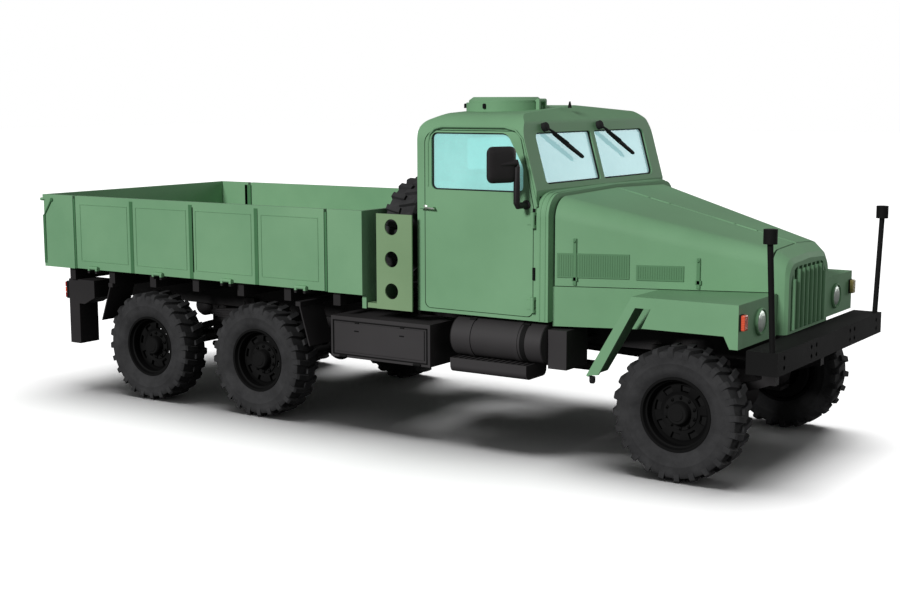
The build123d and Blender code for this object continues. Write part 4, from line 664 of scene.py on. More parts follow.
# Beads of the cab and cowl: half-round swages rolled into the sheet beside the joint of cab and cowl, and the
# drip moulding over each door. They are painted with the cab.
bead_radius = 0.008
bead_sides = 10
bead_sink = 0.001
bead_places = (0.028, 0.072)
cab_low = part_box("cab_frame")[0]
cowl_low, cowl_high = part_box("cowl")
arch_radius = 0.165
arch_crown = 0.022
arch_rise = 0.008
arch_steps = 8
sill_gap = 0.01
crown_sink = 0.002
drip_line = [
    (cab_low.x + 0.055, 1.98),
    (cab_low.x + 0.055, 2.30),
    (cab_low.x + 0.072, 2.37),
    (cab_low.x + 0.115, 2.412),
    (cab_low.x + 0.180, 2.428),
    (axle_x - 1.42, 2.428),
    (axle_x - 1.33, 2.405),
    (axle_x - 1.27, 2.345),
    (axle_x - 1.145, 1.86),
]


def cowl_line(x):
    """Line over the cowl's arch, from the right sill to the left one."""
    half, top = cowl_high.y - bead_sink, cowl_high.z - bead_sink
    line = [(x, -half, cowl_low.z + sill_gap)]
    for i in range(arch_steps + 1):
        a = math.pi / 2 * i / arch_steps
        arch_z = top - arch_crown - arch_radius * (1 - math.sin(a)) + arch_rise * i / arch_steps
        line.append((x, -half + arch_radius * (1 - math.cos(a)), arch_z))
    line.append((x, 0, top - crown_sink))
    return line + [(px, -py, pz) for px, py, pz in reversed(line[:-1])]


beads = Form()
for behind in bead_places:
    beads.rod(cowl_line(sides_low.x - behind), bead_radius, bead_sides)
for side, sign in sides:
    beads.rod([(x, sign * (cowl_high.y + bead_sink), z) for x, z in drip_line], bead_radius, bead_sides)
beads.made("cab_beads", olive_enamel, "chassis")

# Window glass: flat safety glass with a blue-green tint, held in the frames. A dust film catches the light on it,
# so the panes look milky, the doors' more than the windscreen's. A faint glow on each pane is a painted reflection of
# the bright sky.
dust_film_mm = 420


def tinted_glass(name, tint, dust_and_glow_code, haze, glow):
    """Thin tinted pane: it lets light through, mirrors at a grazing look and carries a film of dust; the glow, in the
    dust's colour, is a painted reflection of the bright sheet of sky that such a pane mirrors."""
    material = bpy.data.materials.new(name)
    material.use_nodes = True
    tree = material.node_tree
    tree.nodes.clear()
    clear = add(tree, "ShaderNodeBsdfTransparent", {"Color": hex_colour(tint)})
    gloss = add(tree, "ShaderNodeBsdfGlossy", {"Roughness": 0.03})
    edge = add(tree, "ShaderNodeFresnel", {"IOR": 1.5})
    pane = add(tree, "ShaderNodeMixShader", None, {0: edge.outputs[0], 1: clear.outputs[0], 2: gloss.outputs[0]})
    place = add(tree, "ShaderNodeTexCoord").outputs["Object"]
    cloud = add(
        tree,
        "ShaderNodeTexNoise",
        {"Scale": 1000 / dust_film_mm, "Detail": 7, "Roughness": 0.6},
        {"Vector": place},
    )
    spread = {"From Min": 0.35, "From Max": 0.7, "To Min": haze * 0.85, "To Max": haze * 1.15}
    amount = add(tree, "ShaderNodeMapRange", spread, {"Value": cloud.outputs["Fac"]})
    dust = add(tree, "ShaderNodeBsdfDiffuse", {"Color": hex_colour(dust_and_glow_code)})
    film = add(tree, "ShaderNodeMixShader", None, {0: amount.outputs[0], 1: pane.outputs[0], 2: dust.outputs[0]})
    shine = add(tree, "ShaderNodeEmission", {"Color": hex_colour(dust_and_glow_code), "Strength": glow})
    both = add(tree, "ShaderNodeAddShader", None, {0: film.outputs[0], 1: shine.outputs[0]})
    add(tree, "ShaderNodeOutputMaterial", None, {"Surface": both.outputs[0]})
    return material


side_glass = tinted_glass("tinted_side_glass", "#d2efec", "#bff7f4", 0.5, 0.10)
finish_nodes(side_glass, "door_glass_right", "door_glass_left")
finish_nodes(tinted_glass("tinted_screen_glass", "#cfe4e7", "#bfe0e2", 0.32, 0.25), "fixed_glass")

# Window rubbers: a black extruded rubber profile pressed round every pane, between its edge and the sheet.
# It is dull and a little grey with dust.
window_rubber = dull_rubber("black_window_rubber", "#1a1a1a", "#262627")
rubber_radius = 0.010
cab_middle = Vector((cab_low.x + 0.5, 0, 2.1))


def pane_outlines(node):
    """Outline and direction of the outer face of each pane in a CAD node, in the same order each run."""
    work = bmesh.new()
    work.from_mesh(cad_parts[node].data)
    bmesh.ops.remove_doubles(work, verts=work.verts, dist=1e-5)
    work.normal_update()
    waiting = set(work.faces)
    outlines = []
    while waiting:
        island = {waiting.pop()}
        front = list(island)
        while front:
            for edge in front.pop().edges:
                for face in edge.link_faces:
                    if face in waiting:
                        waiting.discard(face)
                        island.add(face)
                        front.append(face)
        largest = max(island, key=lambda face: face.calc_area())
        way = largest.normal.copy()
        if way.dot(largest.calc_center_median() - cab_middle) < 0:
            way = -way
        outer = {face for face in island if face.normal.dot(way) > 0.99}
        follow = {}
        for face in outer:
            for loop in face.loops:
                if sum(other in outer for other in loop.edge.link_faces) == 1:
                    follow[loop.vert.co.copy().freeze()] = loop.link_loop_next.vert.co.copy().freeze()
        start = min(follow, key=tuple)
        line, point = [start], follow[start]
        while point != start and point in follow:
            line.append(point)
            point = follow[point]
        outlines.append((line, way))
    work.free()
    return sorted(outlines, key=lambda outline: tuple(outline[0][0]))


def add_ring_bead(form, line, way, radius, sides=8):
    """Round bead that follows a closed flat outline."""
    count = len(line)
    rings = []
    for i, point in enumerate(line):
        along = (line[(i + 1) % count] - line[i - 1]).normalized()
        across = along.cross(way)
        angles = [2 * math.pi * j / sides for j in range(sides)]
        rings.append([point + (across * math.cos(a) + way * math.sin(a)) * radius for a in angles])
    form.skin(rings, closed=True)


for node, body in (("door_glass_right", "door_right"), ("door_glass_left", "door_left"), ("fixed_glass", "chassis")):
    form = Form()
    for line, way in pane_outlines(node):
        add_ring_bead(form, line, way, rubber_radius)
    form.made("window_rubber_" + node, window_rubber, body)

# Mirrors: a black moulded shell with rounded corners over the glass, on a bent tube screwed to the door.
# The shell is satin plastic; the glass is silvered behind and lightly smeared.
mirror_shell = sprayed_paint("black_mirror_moulding", "#191718", "#232021", 0.5)
smear_mm = 100 / 3
mirror_silver, tree, shader, place = new_finish("silvered_mirror_glass", {"Metallic": 1, "Roughness": 0.04})
smears = add(tree, "ShaderNodeTexNoise", {"Scale": 1000 / smear_mm, "Detail": 6}, {"Vector": place})
tones = add(tree, "ShaderNodeValToRGB", None, {"Fac": smears.outputs["Fac"]}, ramp=((0, "#b9c2c4"), (1, "#dfe6e7")))
feed(shader, {"Base Color": tones.outputs["Color"]})
mirror_turn = math.radians(24)
mirror_half_width = 0.120
mirror_half_height = 0.130
mirror_corner = 0.045
mirror_y = 1.300
glass_share = 0.88
shell_sections = (
    (0.020, 0.90),
    (0.022, 0.97),
    (0.014, 1.0),
    (-0.006, 0.99),
    (-0.016, 0.90),
    (-0.021, 0.70),
    (-0.022, 0.30),
)
mirror_ahead = 0.058
mirror_drop = 0.128
arm_radius = 0.024
arm_y = 1.190
arm_foot_y = 1.052
arm_inset = 0.034
elbow_rise, elbow_drop = 0.012, 0.02
bend_radius = 0.02
foot_flange = ((0, 0.034), (0.012, 0.034), (0.016, 0.026))
mirror_outline = []
for u_way, v_way, quarter in ((1, 1, 0), (-1, 1, 1), (-1, -1, 2), (1, -1, 3)):
    for step in range(6):
        a = math.pi / 2 * (quarter + step / 5)
        u = (mirror_half_width - mirror_corner) * u_way + mirror_corner * math.cos(a)
        mirror_outline.append((u, (mirror_half_height - mirror_corner) * v_way + mirror_corner * math.sin(a)))


def mirror_form(head, out_way, face_way, sections):
    """Skin over the mirror's outline at some depths before its middle, each drawn to a share of its size."""
    form = Form()
    rings = []
    for depth, share in sections:
        middle = head + face_way * depth
        rings.append([middle + out_way * (u * share) + Vector((0, 0, v * share)) for u, v in mirror_outline])
    form.skin(rings)
    return form


for side, sign in sides:
    low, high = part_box("mirror_" + side)
    arm_x, foot_z = high.x - arm_inset, low.z + arm_inset
    head = Vector((arm_x - mirror_ahead, sign * mirror_y, high.z - mirror_drop))
    out_way = Vector((-math.sin(mirror_turn), sign * math.cos(mirror_turn), 0))
    face_way = Vector((-math.cos(mirror_turn), -sign * math.sin(mirror_turn), 0))
    form = mirror_form(head, out_way, face_way, shell_sections)
    tube = [head + out_way * bend_radius]
    tube += [(arm_x, sign * arm_y, z) for z in (head.z + elbow_rise, head.z - elbow_drop, foot_z + bend_radius)]
    tube += [(arm_x, sign * y, foot_z) for y in (arm_y - 0.015, arm_foot_y)]
    form.rod(tube, arm_radius)
    flange = [(sign * along, radius) for along, radius in foot_flange]
    form.turned(flange, (arm_x, sign * (arm_foot_y - 0.001), foot_z), (0, 1, 0), 24)
    form.made("mirror_shell_" + side, mirror_shell, "door_" + side, ("mirror_" + side,))
    pane = mirror_form(head, out_way, face_way, ((0.018, glass_share), (0.0215, glass_share)))
    pane.made("mirror_glass_" + side, mirror_silver, "door_" + side)

# Wipers: a sprung steel arm on a capped pivot above each pane of the windscreen, with a rubber blade in a pressed
# holder. All of it is black and dull.
wiper_low, wiper_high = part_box("wipers")
pivot_places = (-0.737, 0.119)
pivot_cap = [(-0.02, 0.034), (0.010, 0.034), (0.018, 0.026), (0.020, 0.008)]
wiper_run = 0.452
wiper_drop = 0.240
wiper_lean = wiper_drop * 0.140 / 0.490
screen_way = Vector((1, 0, 0.286))
spring_way = Vector((0.012, 0, 0.004))
wiper_arm_radius = 0.009
pivot_out = 0.022
pivot_drop = 0.024
arm_bend, arm_end, arm_spring = 0.3, 0.55, 1.4
blade_from = 0.14
holder_sections = ((0, 0.012), (0.06, 0.022), (0.5, 0.025), (0.94, 0.020), (1, 0.010))
form = Form()
for pivot_y in pivot_places:
    pivot = Vector((wiper_low.x + pivot_out, pivot_y, wiper_high.z - pivot_drop))
    tip = pivot + Vector((wiper_lean, wiper_run, -wiper_drop))
    form.turned(pivot_cap, pivot, screen_way, 20)
    arm = [pivot, pivot.lerp(tip, arm_bend) + spring_way, pivot.lerp(tip, arm_end) + spring_way * arm_spring]
    form.rod(arm, wiper_arm_radius, 8)
    start = pivot.lerp(tip, blade_from)
    across = (tip - start).normalized().cross(screen_way.normalized())
    rings = []
    for share, half in holder_sections:
        point, ridge = start.lerp(tip, share), across * half * 0.5
        rings.append(
            [point + across * half, point + ridge + spring_way, point - ridge + spring_way, point - across * half],
        )
    form.skin(rings)
form.made("wiper_arms", window_rubber, "chassis", ("wipers",))

# Headlamps: a fluted glass lens in a rolled rim, bolted into the front of each fender. The reflector behind the
# glass makes it look like pale brushed silver with upright flutes.
lamp_low, lamp_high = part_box("headlamps")
lamp_y = 0.767
lamp_z = (lamp_low.z + lamp_high.z) / 2
lamp_radius = (lamp_high.z - lamp_low.z) / 2
lamp_depth = lamp_high.x - lamp_low.x
lens_radius = lamp_radius * 0.84
flute_mm = 16
# A wave texture draws about 3.1 bands in each unit of its scale.
bands_in_scale = 3.1
fluted_glass, tree, shader, place = new_finish(
    "fluted_headlamp_glass",
    {"IOR": 1.5, "Roughness": 0.28, "Metallic": 0.75},
)
wave = {"Scale": 1000 / flute_mm / bands_in_scale, "Distortion": 0.3}
flutes = add(tree, "ShaderNodeTexWave", wave, {"Vector": place}, bands_direction="Y")
tones = add(tree, "ShaderNodeValToRGB", None, {"Fac": flutes.outputs["Fac"]}, ramp=((0, "#c3d2c6"), (1, "#f2f8f2")))
bump = add(tree, "ShaderNodeBump", {"Strength": 0.5, "Distance": 0.002}, {"Height": flutes.outputs["Fac"]})
feed(shader, {"Base Color": tones.outputs["Color"], "Normal": bump.outputs[0]})
rim_profile = [
    (0, 0.05),
    (0.01, lamp_radius * 0.8),
    (lamp_depth * 0.7, lamp_radius),
    (lamp_depth - 0.010, lamp_radius),
    (lamp_depth - 0.003, lamp_radius - 0.005),
    (lamp_depth - 0.002, lens_radius + 0.003),
    (lamp_depth - 0.012, lens_radius),
]
lens_profile = [
    (lamp_depth - 0.030, lens_radius),
    (lamp_depth - 0.014, lens_radius),
    (lamp_depth - 0.008, lens_radius * 0.8),
    (lamp_depth - 0.004, lens_radius * 0.5),
    (lamp_depth - 0.002, lens_radius * 0.15),
]
rims, lenses = Form(), Form()
for side, sign in sides:
    centre = (lamp_low.x, sign * lamp_y, lamp_z)
    rims.turned(rim_profile, centre, (1, 0, 0))
    lenses.turned(lens_profile, centre, (1, 0, 0))
rims.made("headlamp_rims", olive_enamel, "chassis", ("headlamps",))
lenses.made("headlamp_lenses", fluted_glass, "chassis")

# Indicators and tail lamps: ribbed acrylic lenses on black steel housings, clipped over the bulbs.
# The near indicator is a fresh orange-red, the far one has faded to amber; the ribs show as level bands.
rib_mm = 12


def ribbed_lens(name, code, deep_code):
    """Coloured lens whose moulded ribs show as fine level bands."""
    material, tree, shader, place = new_finish(name, {"IOR": 1.49, "Roughness": 0.2})
    wave = {"Scale": 1000 / rib_mm / bands_in_scale}
    ribs = add(tree, "ShaderNodeTexWave", wave, {"Vector": place}, bands_direction="Z")
    tones = add(tree, "ShaderNodeValToRGB", None, {"Fac": ribs.outputs["Fac"]}, ramp=((0, deep_code), (1, code)))
    bump = add(tree, "ShaderNodeBump", {"Strength": 0.4, "Distance": 0.002}, {"Height": ribs.outputs["Fac"]})
    feed(shader, {"Base Color": tones.outputs["Color"], "Normal": bump.outputs[0]})
    return material


orange_lens = ribbed_lens("orange_red_indicator_lens", "#ee6242", "#c64a30")
amber_lens = ribbed_lens("faded_amber_indicator_lens", "#b8a868", "#8f8350")
red_lens = ribbed_lens("red_tail_lamp_lens", "#b02418", "#7d150e")
signal_low, signal_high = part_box("signal_lamps")
indicator_inner_y, indicator_outer_y = 1.075, 1.135
indicator_height = 0.110
indicator_depth = 0.040
plate_depth = 0.012
lens_overlap = 0.002
tail_inner_y, tail_outer_y = 0.935, 1.085
tail_height = 0.160
tail_pitch = 0.148 / 3
tail_lens_height = 0.046
tail_lens_inset = 0.006
tail_lens_depth = 0.030
tail_front, tail_back = 0.100, 0.026
lens_gap = 0.001
top_gap = 0.003
housings = Form()
for (side, sign), glass in zip(sides, (orange_lens, amber_lens)):
    inner, outer = sign * indicator_inner_y, sign * indicator_outer_y
    back_x, top_z = signal_high.x - indicator_depth, signal_high.z
    low = (back_x + plate_depth - lens_overlap, inner, top_z - indicator_height + lens_overlap)
    lens_form = Form()
    lens_form.box(low, (signal_high.x - lens_gap, outer, top_z - top_gap))
    lens_form.made("indicator_lens_" + side, glass, "chassis", bevel=0.006)
    housings.box((back_x, inner, top_z - indicator_height), (back_x + plate_depth, outer, top_z))
    inner, outer = sign * tail_inner_y, sign * tail_outer_y
    rear_x, low_z = signal_low.x, signal_low.z
    housings.box((rear_x + tail_back, inner, low_z), (rear_x + tail_front, outer, low_z + tail_height))
    for index, glass_kind in enumerate((red_lens, orange_lens, red_lens)):
        tail = Form()
        z = low_z + tail_lens_inset + index * tail_pitch
        low = (rear_x + lens_gap, inner + sign * tail_lens_inset, z)
        tail.box(low, (rear_x + tail_lens_depth, outer - sign * tail_lens_inset, z + tail_lens_height))
        tail.made("tail_lens_%d_%s" % (index, side), glass_kind, "chassis", bevel=0.005)
housings.made("signal_housings", bumper_paint, "chassis", ("signal_lamps",), bevel=0.002)

# Bumper: a folded steel channel with marker posts, painted black. Hexagon bolts hold it to the rail ends and
# to their brackets.
bolt_radius = 0.017
bolt_head = [(-0.004, bolt_radius * 1.35), (0.003, bolt_radius * 1.35), (0.0031, bolt_radius), (0.013, bolt_radius)]
bolt_face_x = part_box("front_bumper")[1].x - 0.013
bolt_columns = (-0.98, -0.46, -0.36, 0.36, 0.46, 0.98)
bolt_rows = (0.858, 0.925)
bolts = Form()
for y in bolt_columns:
    for z in bolt_rows:
        bolts.turned(bolt_head, (bolt_face_x, y, z), (1, 0, 0), 6)
bolts.made("bumper_bolts", bumper_paint, "chassis")

# Side board posts: folded steel posts welded on the boards, and a rod latch on each rear corner.
# They are painted dark green, a painted shade for the shadows beside the posts and in the joints at the corners.
dark_painted_shade = sprayed_paint("dark_painted_shade_enamel", "#3d6b45", "#487850", 0.62)
board_y = 1.195
post_places = (-2.346, -1.642, -0.912)
post_half = 0.019
post_proud = 0.004
post_low_z = 1.128
post_top_z = 1.752
latch_x = -3.464
latch_half = post_half * 0.8
latch_low_z = 1.150
latch_top_z = 1.590
latch_eye = (-3.354, 1.732)
latch_rod_radius = 0.008
for side, sign in sides:
    fixed, hung = Form(), Form()
    root, face = sign * (board_y - 0.002), sign * (board_y + post_proud)
    for x in post_places:
        hung.box((x - post_half, root, post_low_z), (x + post_half, face, post_top_z))
    hung.made("board_posts_" + side, dark_painted_shade, "side_board_" + side)
    fixed.box((latch_x - latch_half, root, latch_low_z), (latch_x + latch_half, face, latch_top_z))
    eye_x, eye_z = latch_eye
    line = [(latch_x + 0.006, face, latch_top_z), (eye_x, face + sign * 0.002, eye_z)]
    fixed.rod(line, latch_rod_radius, 8)
    fixed.turned([(0, 0.016), (sign * 0.01, 0.016)], (eye_x, sign * board_y, eye_z), (0, 1, 0), 12)
    fixed.made("corner_latch_" + side, dark_painted_shade, "chassis")

# Fender buffers: a short moulded rubber buffer, bolted under the rear stay of each front fender.
# It is black and dull, as the window rubbers are.
buffer_radius = 0.022
buffer_profile = [(0, 0.010), (0.004, buffer_radius), (0.040, buffer_radius), (0.052, 0.016)]
fender_low, fender_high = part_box("front_fenders")
for side, sign in sides:
    form = Form()
    foot = (fender_low.x + 0.035, sign * (fender_high.y - 0.030), fender_low.z + 0.004)
    form.turned(buffer_profile, foot, (0, 0, -1), 20)
    form.made("fender_buffer_" + side, window_rubber, "chassis")

# Door furniture: chromed steel pull handles on round roses, and black hinge barrels; each is screwed to the door.
# The chrome is bright with dull specks where it is worn.
speck_mm = 6.25
worn_chrome, tree, shader, place = new_finish("worn_chrome_plate", {"Metallic": 1})
specks = add(tree, "ShaderNodeTexNoise", {"Scale": 1000 / speck_mm, "Detail": 6}, {"Vector": place})
tones = add(tree, "ShaderNodeValToRGB", None, {"Fac": specks.outputs["Fac"]}, ramp=((0, "#b9bdb6"), (1, "#e4e8e0")))
wear = add(tree, "ShaderNodeMapRange", {"To Min": 0.18, "To Max": 0.42}, {"Value": specks.outputs["Fac"]})
feed(shader, {"Base Color": tones.outputs["Color"], "Roughness": wear.outputs[0]})
handle_x = 0.668
handle_z = 1.815
handle_radius = 0.008
handle_bends = ((0, 0, 0), (0, 0.026, 0), (0.022, 0.036, 0), (0.104, 0.036, -0.004))
door_face_y = 1.050
rose = ((0, 0.020), (0.006, 0.020), (0.009, 0.014))
hinge_x = 1.628
hinge_y = 1.056
hinge_half = 0.045
hinge_radius = 0.011
hinge_places = (1.37, 1.80)
for side, sign in sides:
    form = Form()
    line = [(handle_x + along, sign * (door_face_y + out), handle_z + up) for along, out, up in handle_bends]
    form.rod(line, handle_radius, 10)
    form.turned([(sign * along, radius) for along, radius in rose], line[0], (0, 1, 0), 20)
    form.made("door_handle_" + side, worn_chrome, "door_" + side)
    form = Form()
    for z in hinge_places:
        form.rod([(hinge_x, sign * hinge_y, z + end) for end in (-hinge_half, hinge_half)], hinge_radius, 12)
    form.made("door_hinges_" + side, bumper_paint, "door_" + side)

# Grille bars: half-round steel bars welded on the flat slats of the nose and painted with it, so that each has a
# bright and a dark side. The outer ones are shorter, under the nose's round shoulders.
grille_low, grille_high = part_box("grille")
bar_count = 8
bar_radius = 0.021
bar_pitch = (grille_high.y - grille_low.y) / bar_count
shoulder_y = grille_high.y - 0.13
shoulder_slope = 0.75
bar_sink = 0.004
bar_top_gap = 0.02
form = Form()
for index in range(bar_count):
    y = grille_low.y + (index + 0.5) * bar_pitch
    top_z = grille_high.z - bar_top_gap - max(0.0, abs(y) - shoulder_y) * shoulder_slope
    form.rod([(grille_high.x - bar_sink, y, z) for z in (grille_low.z + bar_sink, top_z)], bar_radius, 16)
form.made("grille_bars", olive_enamel, "chassis")

# Corner strips: folded steel strips welded on the bed's fixed ends, which close the slots beside the side boards
# from outside, and cover strips over the same joints from inside. Their dark green is a painted shade for the shadow
# in these joints.
strip_table = ((-3.0775, -3.0555), (-0.2010, -0.1790))
strip_y = 1.160
strip_low_z = 1.124
joint_table = ((-3.083, -1), (-0.173, 1))
joint_gap = 0.002
cover_y = 1.140
cover_low_z = 1.164
cover_thin = 0.008
cover_thick = 0.016
cover_back = 0.035
cover_reach = 0.043
form = Form()
for side, sign in sides:
    for low_x, high_x in strip_table:
        form.box((low_x, sign * strip_y, strip_low_z), (high_x, sign * board_y, post_top_z))
    for joint_x, post_way in joint_table:
        back_x = joint_x + post_way * cover_back
        for reach, thickness in ((-cover_reach, cover_thin), (joint_gap, cover_thick)):
            end_x = joint_x + post_way * reach
            form.box((back_x, sign * cover_y, cover_low_z), (end_x, sign * (cover_y + thickness), post_top_z))
form.made("corner_strips", dark_painted_shade, "chassis")

# Panels of the side boards: each panel between two posts has a frame pressed into the sheet, which catches the
# light as a fine line.
board_low, board_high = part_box("side_board_right")
frame_inset = 0.055
frame_radius = 0.005
frame_end_gap = 0.006
frame_low_z = post_low_z + 0.07
frame_top_z = post_top_z - 0.05
for side, sign in sides:
    form = Form()
    edges = [board_low.x + frame_end_gap, *post_places, board_high.x - frame_end_gap]
    for rear_x, front_x in zip(edges, edges[1:]):
        low_x, high_x = rear_x + frame_inset, front_x - frame_inset
        corners = ((low_x, frame_low_z), (high_x, frame_low_z), (high_x, frame_top_z), (low_x, frame_top_z))
        add_ring_bead(form, [Vector((x, sign * board_y, z)) for x, z in corners], Vector((0, sign, 0)), frame_radius)
    form.made("panel_frames_" + side, bed_enamel, "side_board_" + side)

# Panels of the tailgate: three frames of the same kind, pressed a little deeper into its steel sheet and painted
# with it.
gate_face_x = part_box("tailgate")[0].x + 0.030
gate_frame_low_z = 1.21
gate_frame_top_z = 1.69
gate_frame_radius = 0.006
gate_panels = ((-1.09, -0.40), (-0.34, 0.34), (0.40, 1.09))
form = Form()
for low_y, high_y in gate_panels:
    corners = (
        (low_y, gate_frame_low_z),
        (high_y, gate_frame_low_z),
        (high_y, gate_frame_top_z),
        (low_y, gate_frame_top_z),
    )
    add_ring_bead(form, [Vector((gate_face_x, y, z)) for y, z in corners], Vector((-1, 0, 0)), gate_frame_radius)
form.made("tailgate_frames", bed_enamel, "tailgate")

# Seats: vinyl covers with sewn pleats over foam and springs, on painted steel boxes, with two bent tubes behind
# each back. The vinyl is embossed with a fine grain, worn smooth and shiny in the middle.
grain_mm = 5
wear_mm = 200
vinyl, tree, shader, place = new_finish("worn_black_brown_vinyl", {"IOR": 1.5})
wear = add(tree, "ShaderNodeTexNoise", {"Scale": 1000 / wear_mm, "Detail": 6}, {"Vector": place})
tones = add(tree, "ShaderNodeValToRGB", None, {"Fac": wear.outputs["Fac"]}, ramp=((0, "#221d1a"), (1, "#3c332d")))
sheen = add(tree, "ShaderNodeMapRange", {"To Min": 0.38, "To Max": 0.62}, {"Value": wear.outputs["Fac"]})
grain = add(tree, "ShaderNodeTexVoronoi", {"Scale": 1000 / grain_mm}, {"Vector": place})
bump = add(tree, "ShaderNodeBump", {"Strength": 0.3, "Distance": 0.001}, {"Height": grain.outputs["Distance"]})
feed(shader, {"Base Color": tones.outputs["Color"], "Roughness": sheen.outputs[0], "Normal": bump.outputs[0]})
pleat = 0.075
pleat_steps = 6
seam_depth = 0.010
crown_height = 0.012
end_round = 0.03
end_draw = 0.022
section_sides = 32
corner_power = 2 / 7
cover_play = 0.002


def cushion_form(low, high, faces_up):
    """Crowned cushion with pleats across the truck, between two corners; its crown faces upward or forward."""
    form = Form()
    count = max(2, round((high[1] - low[1]) / pleat)) * pleat_steps
    half_x, half_z = (high[0] - low[0]) / 2, (high[2] - low[2]) / 2
    width = high[1] - low[1]
    rings = []
    for i in range(count + 1):
        share = i / count
        crease = abs(math.cos(math.pi * i / pleat_steps)) ** 6 * seam_depth
        end = cover_play + max(0.0, 1 - min(share, 1 - share) * width / end_round) ** 2 * end_draw
        sink = crease + crown_height - crown_height * (1 - min(1.0, abs(2 * share - 1)) ** 2)
        ring = []
        for j in range(section_sides):
            c, d = math.cos(2 * math.pi * j / section_sides), math.sin(2 * math.pi * j / section_sides)
            u = math.copysign(abs(c) ** corner_power, c) * (half_x - end)
            v = math.copysign(abs(d) ** corner_power, d) * (half_z - end)
            if faces_up and d > 0.3:
                v -= sink
            if not faces_up and c > 0.3:
                u -= sink
            ring.append((low[0] + half_x + u, low[1] + share * width, low[2] + half_z + v))
        rings.append(ring)
    form.skin(rings)
    return form


seat_table = (("driver", 0.18, 0.68), ("bench", -0.83, -0.03))
cushion_side = ((0.838, 1.200), (1.234, 1.420))
back_side = ((0.734, 1.330), (0.850, 1.900))
box_side = ((0.794, 1.052), (1.184, 1.215))
box_inset = 0.04
stay_inset = 0.05
stay_line = ((0.80, 1.10), (0.715, 1.30), (0.742, 1.80))
stay_radius = 0.012
boxes = Form()
for name, low_y, high_y in seat_table:
    for part, side_corners, faces_up in (("_seat_cushion", cushion_side, True), ("_seat_back", back_side, False)):
        (rear_x, low_z), (front_x, top_z) = side_corners
        form = cushion_form((rear_x, low_y, low_z), (front_x, high_y, top_z), faces_up)
        cushion = form.made(name + part, vinyl, "chassis", smooth_deg=60)
    (rear_x, low_z), (front_x, top_z) = box_side
    boxes.box((rear_x, low_y + box_inset, low_z), (front_x, high_y - box_inset, top_z))
    for y in (low_y + stay_inset, high_y - stay_inset):
        boxes.rod([(x, y, z) for x, z in stay_line], stay_radius)
boxes.made("seat_boxes", chassis_paint, "chassis", ("seats",), bevel=0.003)

# Dashboard: a painted steel panel with matt black dials behind chromed bezels, and a chromed grab bar before the
# bench. The bezels are pressed and the bar is bent tube.
finish_nodes(sprayed_paint("grey_green_dash_enamel", "#5f7a64", "#6a866f", 0.45), "dashboard")
dial_face = sprayed_paint("matt_black_dial_face", "#0e0e0f", "#19191a", 0.4)
dial_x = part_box("dashboard")[0].x + 0.17
dial_z = 1.88
dial_table = ((0.42, 0.052), (0.29, 0.034), (0.55, 0.034), (0.20, 0.026), (0.64, 0.026))
bezel_depth = 0.012
bar_z = 1.84
bar_line = ((0.01, -0.75), (-0.03, -0.72), (-0.03, -0.20), (0.01, -0.17))
bezels, dials = Form(), Form()
for y, radius in dial_table:
    face_radius = radius * 0.86
    bezel = [(0, radius), (-bezel_depth, radius), (-bezel_depth, face_radius), (0, face_radius)]
    bezels.turned(bezel, (dial_x, y, dial_z), (1, 0, 0), 28, closed=True)
    dials.turned([(0, face_radius), (-0.006, face_radius), (-0.0062, 0.004)], (dial_x, y, dial_z), (1, 0, 0), 28)
bezels.rod([(dial_x + x, y, bar_z) for x, y in bar_line], 0.009)
bezels.made("dial_bezels", worn_chrome, "chassis")
dials.made("dial_faces", dial_face, "chassis")

# Steering wheel: a steel ring and three spokes under a grey moulded plastic, with a domed horn push in the middle.
# The plastic is smooth and a little shiny from hands.
wheel_plastic = sprayed_paint("grey_moulded_wheel_plastic", "#39464a", "#465559", 0.4)
wheel_low, wheel_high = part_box("steering_wheel")
wheel_middle = (wheel_low + wheel_high) / 2
wheel_axis = Vector((-0.6279, 0, 0.7782))
ring_thickness = 0.0135
ring_radius = (wheel_high.y - wheel_low.y) / 2 - 0.014
spoke_sink = wheel_axis * 0.006
spoke_radius = 0.009
push_profile = [(-0.026, 0.030), (0.0, 0.038), (0.012, 0.034), (0.018, 0.020), (0.020, 0.006)]


def round_profile(radius, thickness, sides):
    """Round section at a radius from the axis, to be turned into a ring."""
    angles = [2 * math.pi * j / sides for j in range(sides)]
    return [(thickness * math.cos(a), radius + thickness * math.sin(a)) for a in angles]


form = Form()
form.turned(round_profile(ring_radius, ring_thickness, 12), wheel_middle, wheel_axis, 72, closed=True)
for turn_deg in (90, 210, 330):
    way = Matrix.Rotation(math.radians(turn_deg), 3, wheel_axis) @ Vector((0, 1, 0))
    root, bend = wheel_middle + way * 0.02 - spoke_sink, wheel_middle + way * ring_radius * 0.55 - spoke_sink
    form.rod([root, bend, wheel_middle + way * ring_radius], spoke_radius)
form.turned(push_profile, wheel_middle - wheel_axis * 0.004, wheel_axis, 32)
form.made("steering_wheel_skin", wheel_plastic, "steering_wheel", ("steering_wheel",))

# Fuel tanks: welded drums of steel sheet under grey-black paint, each hung in two flat steel straps with a
# clamping bolt on top. A rolled seam stands round both ends.
tank_low, tank_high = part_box("fuel_tanks")
tank_y = 0.95
tank_z = 0.846
tank_radius = 0.150
seam_profile = [
    (-0.004, tank_radius - 0.006),
    (0.0, tank_radius + 0.003),
    (0.004, tank_radius - 0.006),
    (0.0, tank_radius - 0.012),
]
clamp_y = 1.02
clamp_z = tank_z + 0.140
clamp_half = 0.028
clamp_radius = 0.010
band_half = 0.020
band_inset = 0.16
seam_inset = 0.004


def band_profile(half, radius):
    """Section of a flat band, 4 mm thick, laid round a drum."""
    return [(-half, radius + 0.001), (-half, radius + 0.005), (half, radius + 0.005), (half, radius + 0.001)]


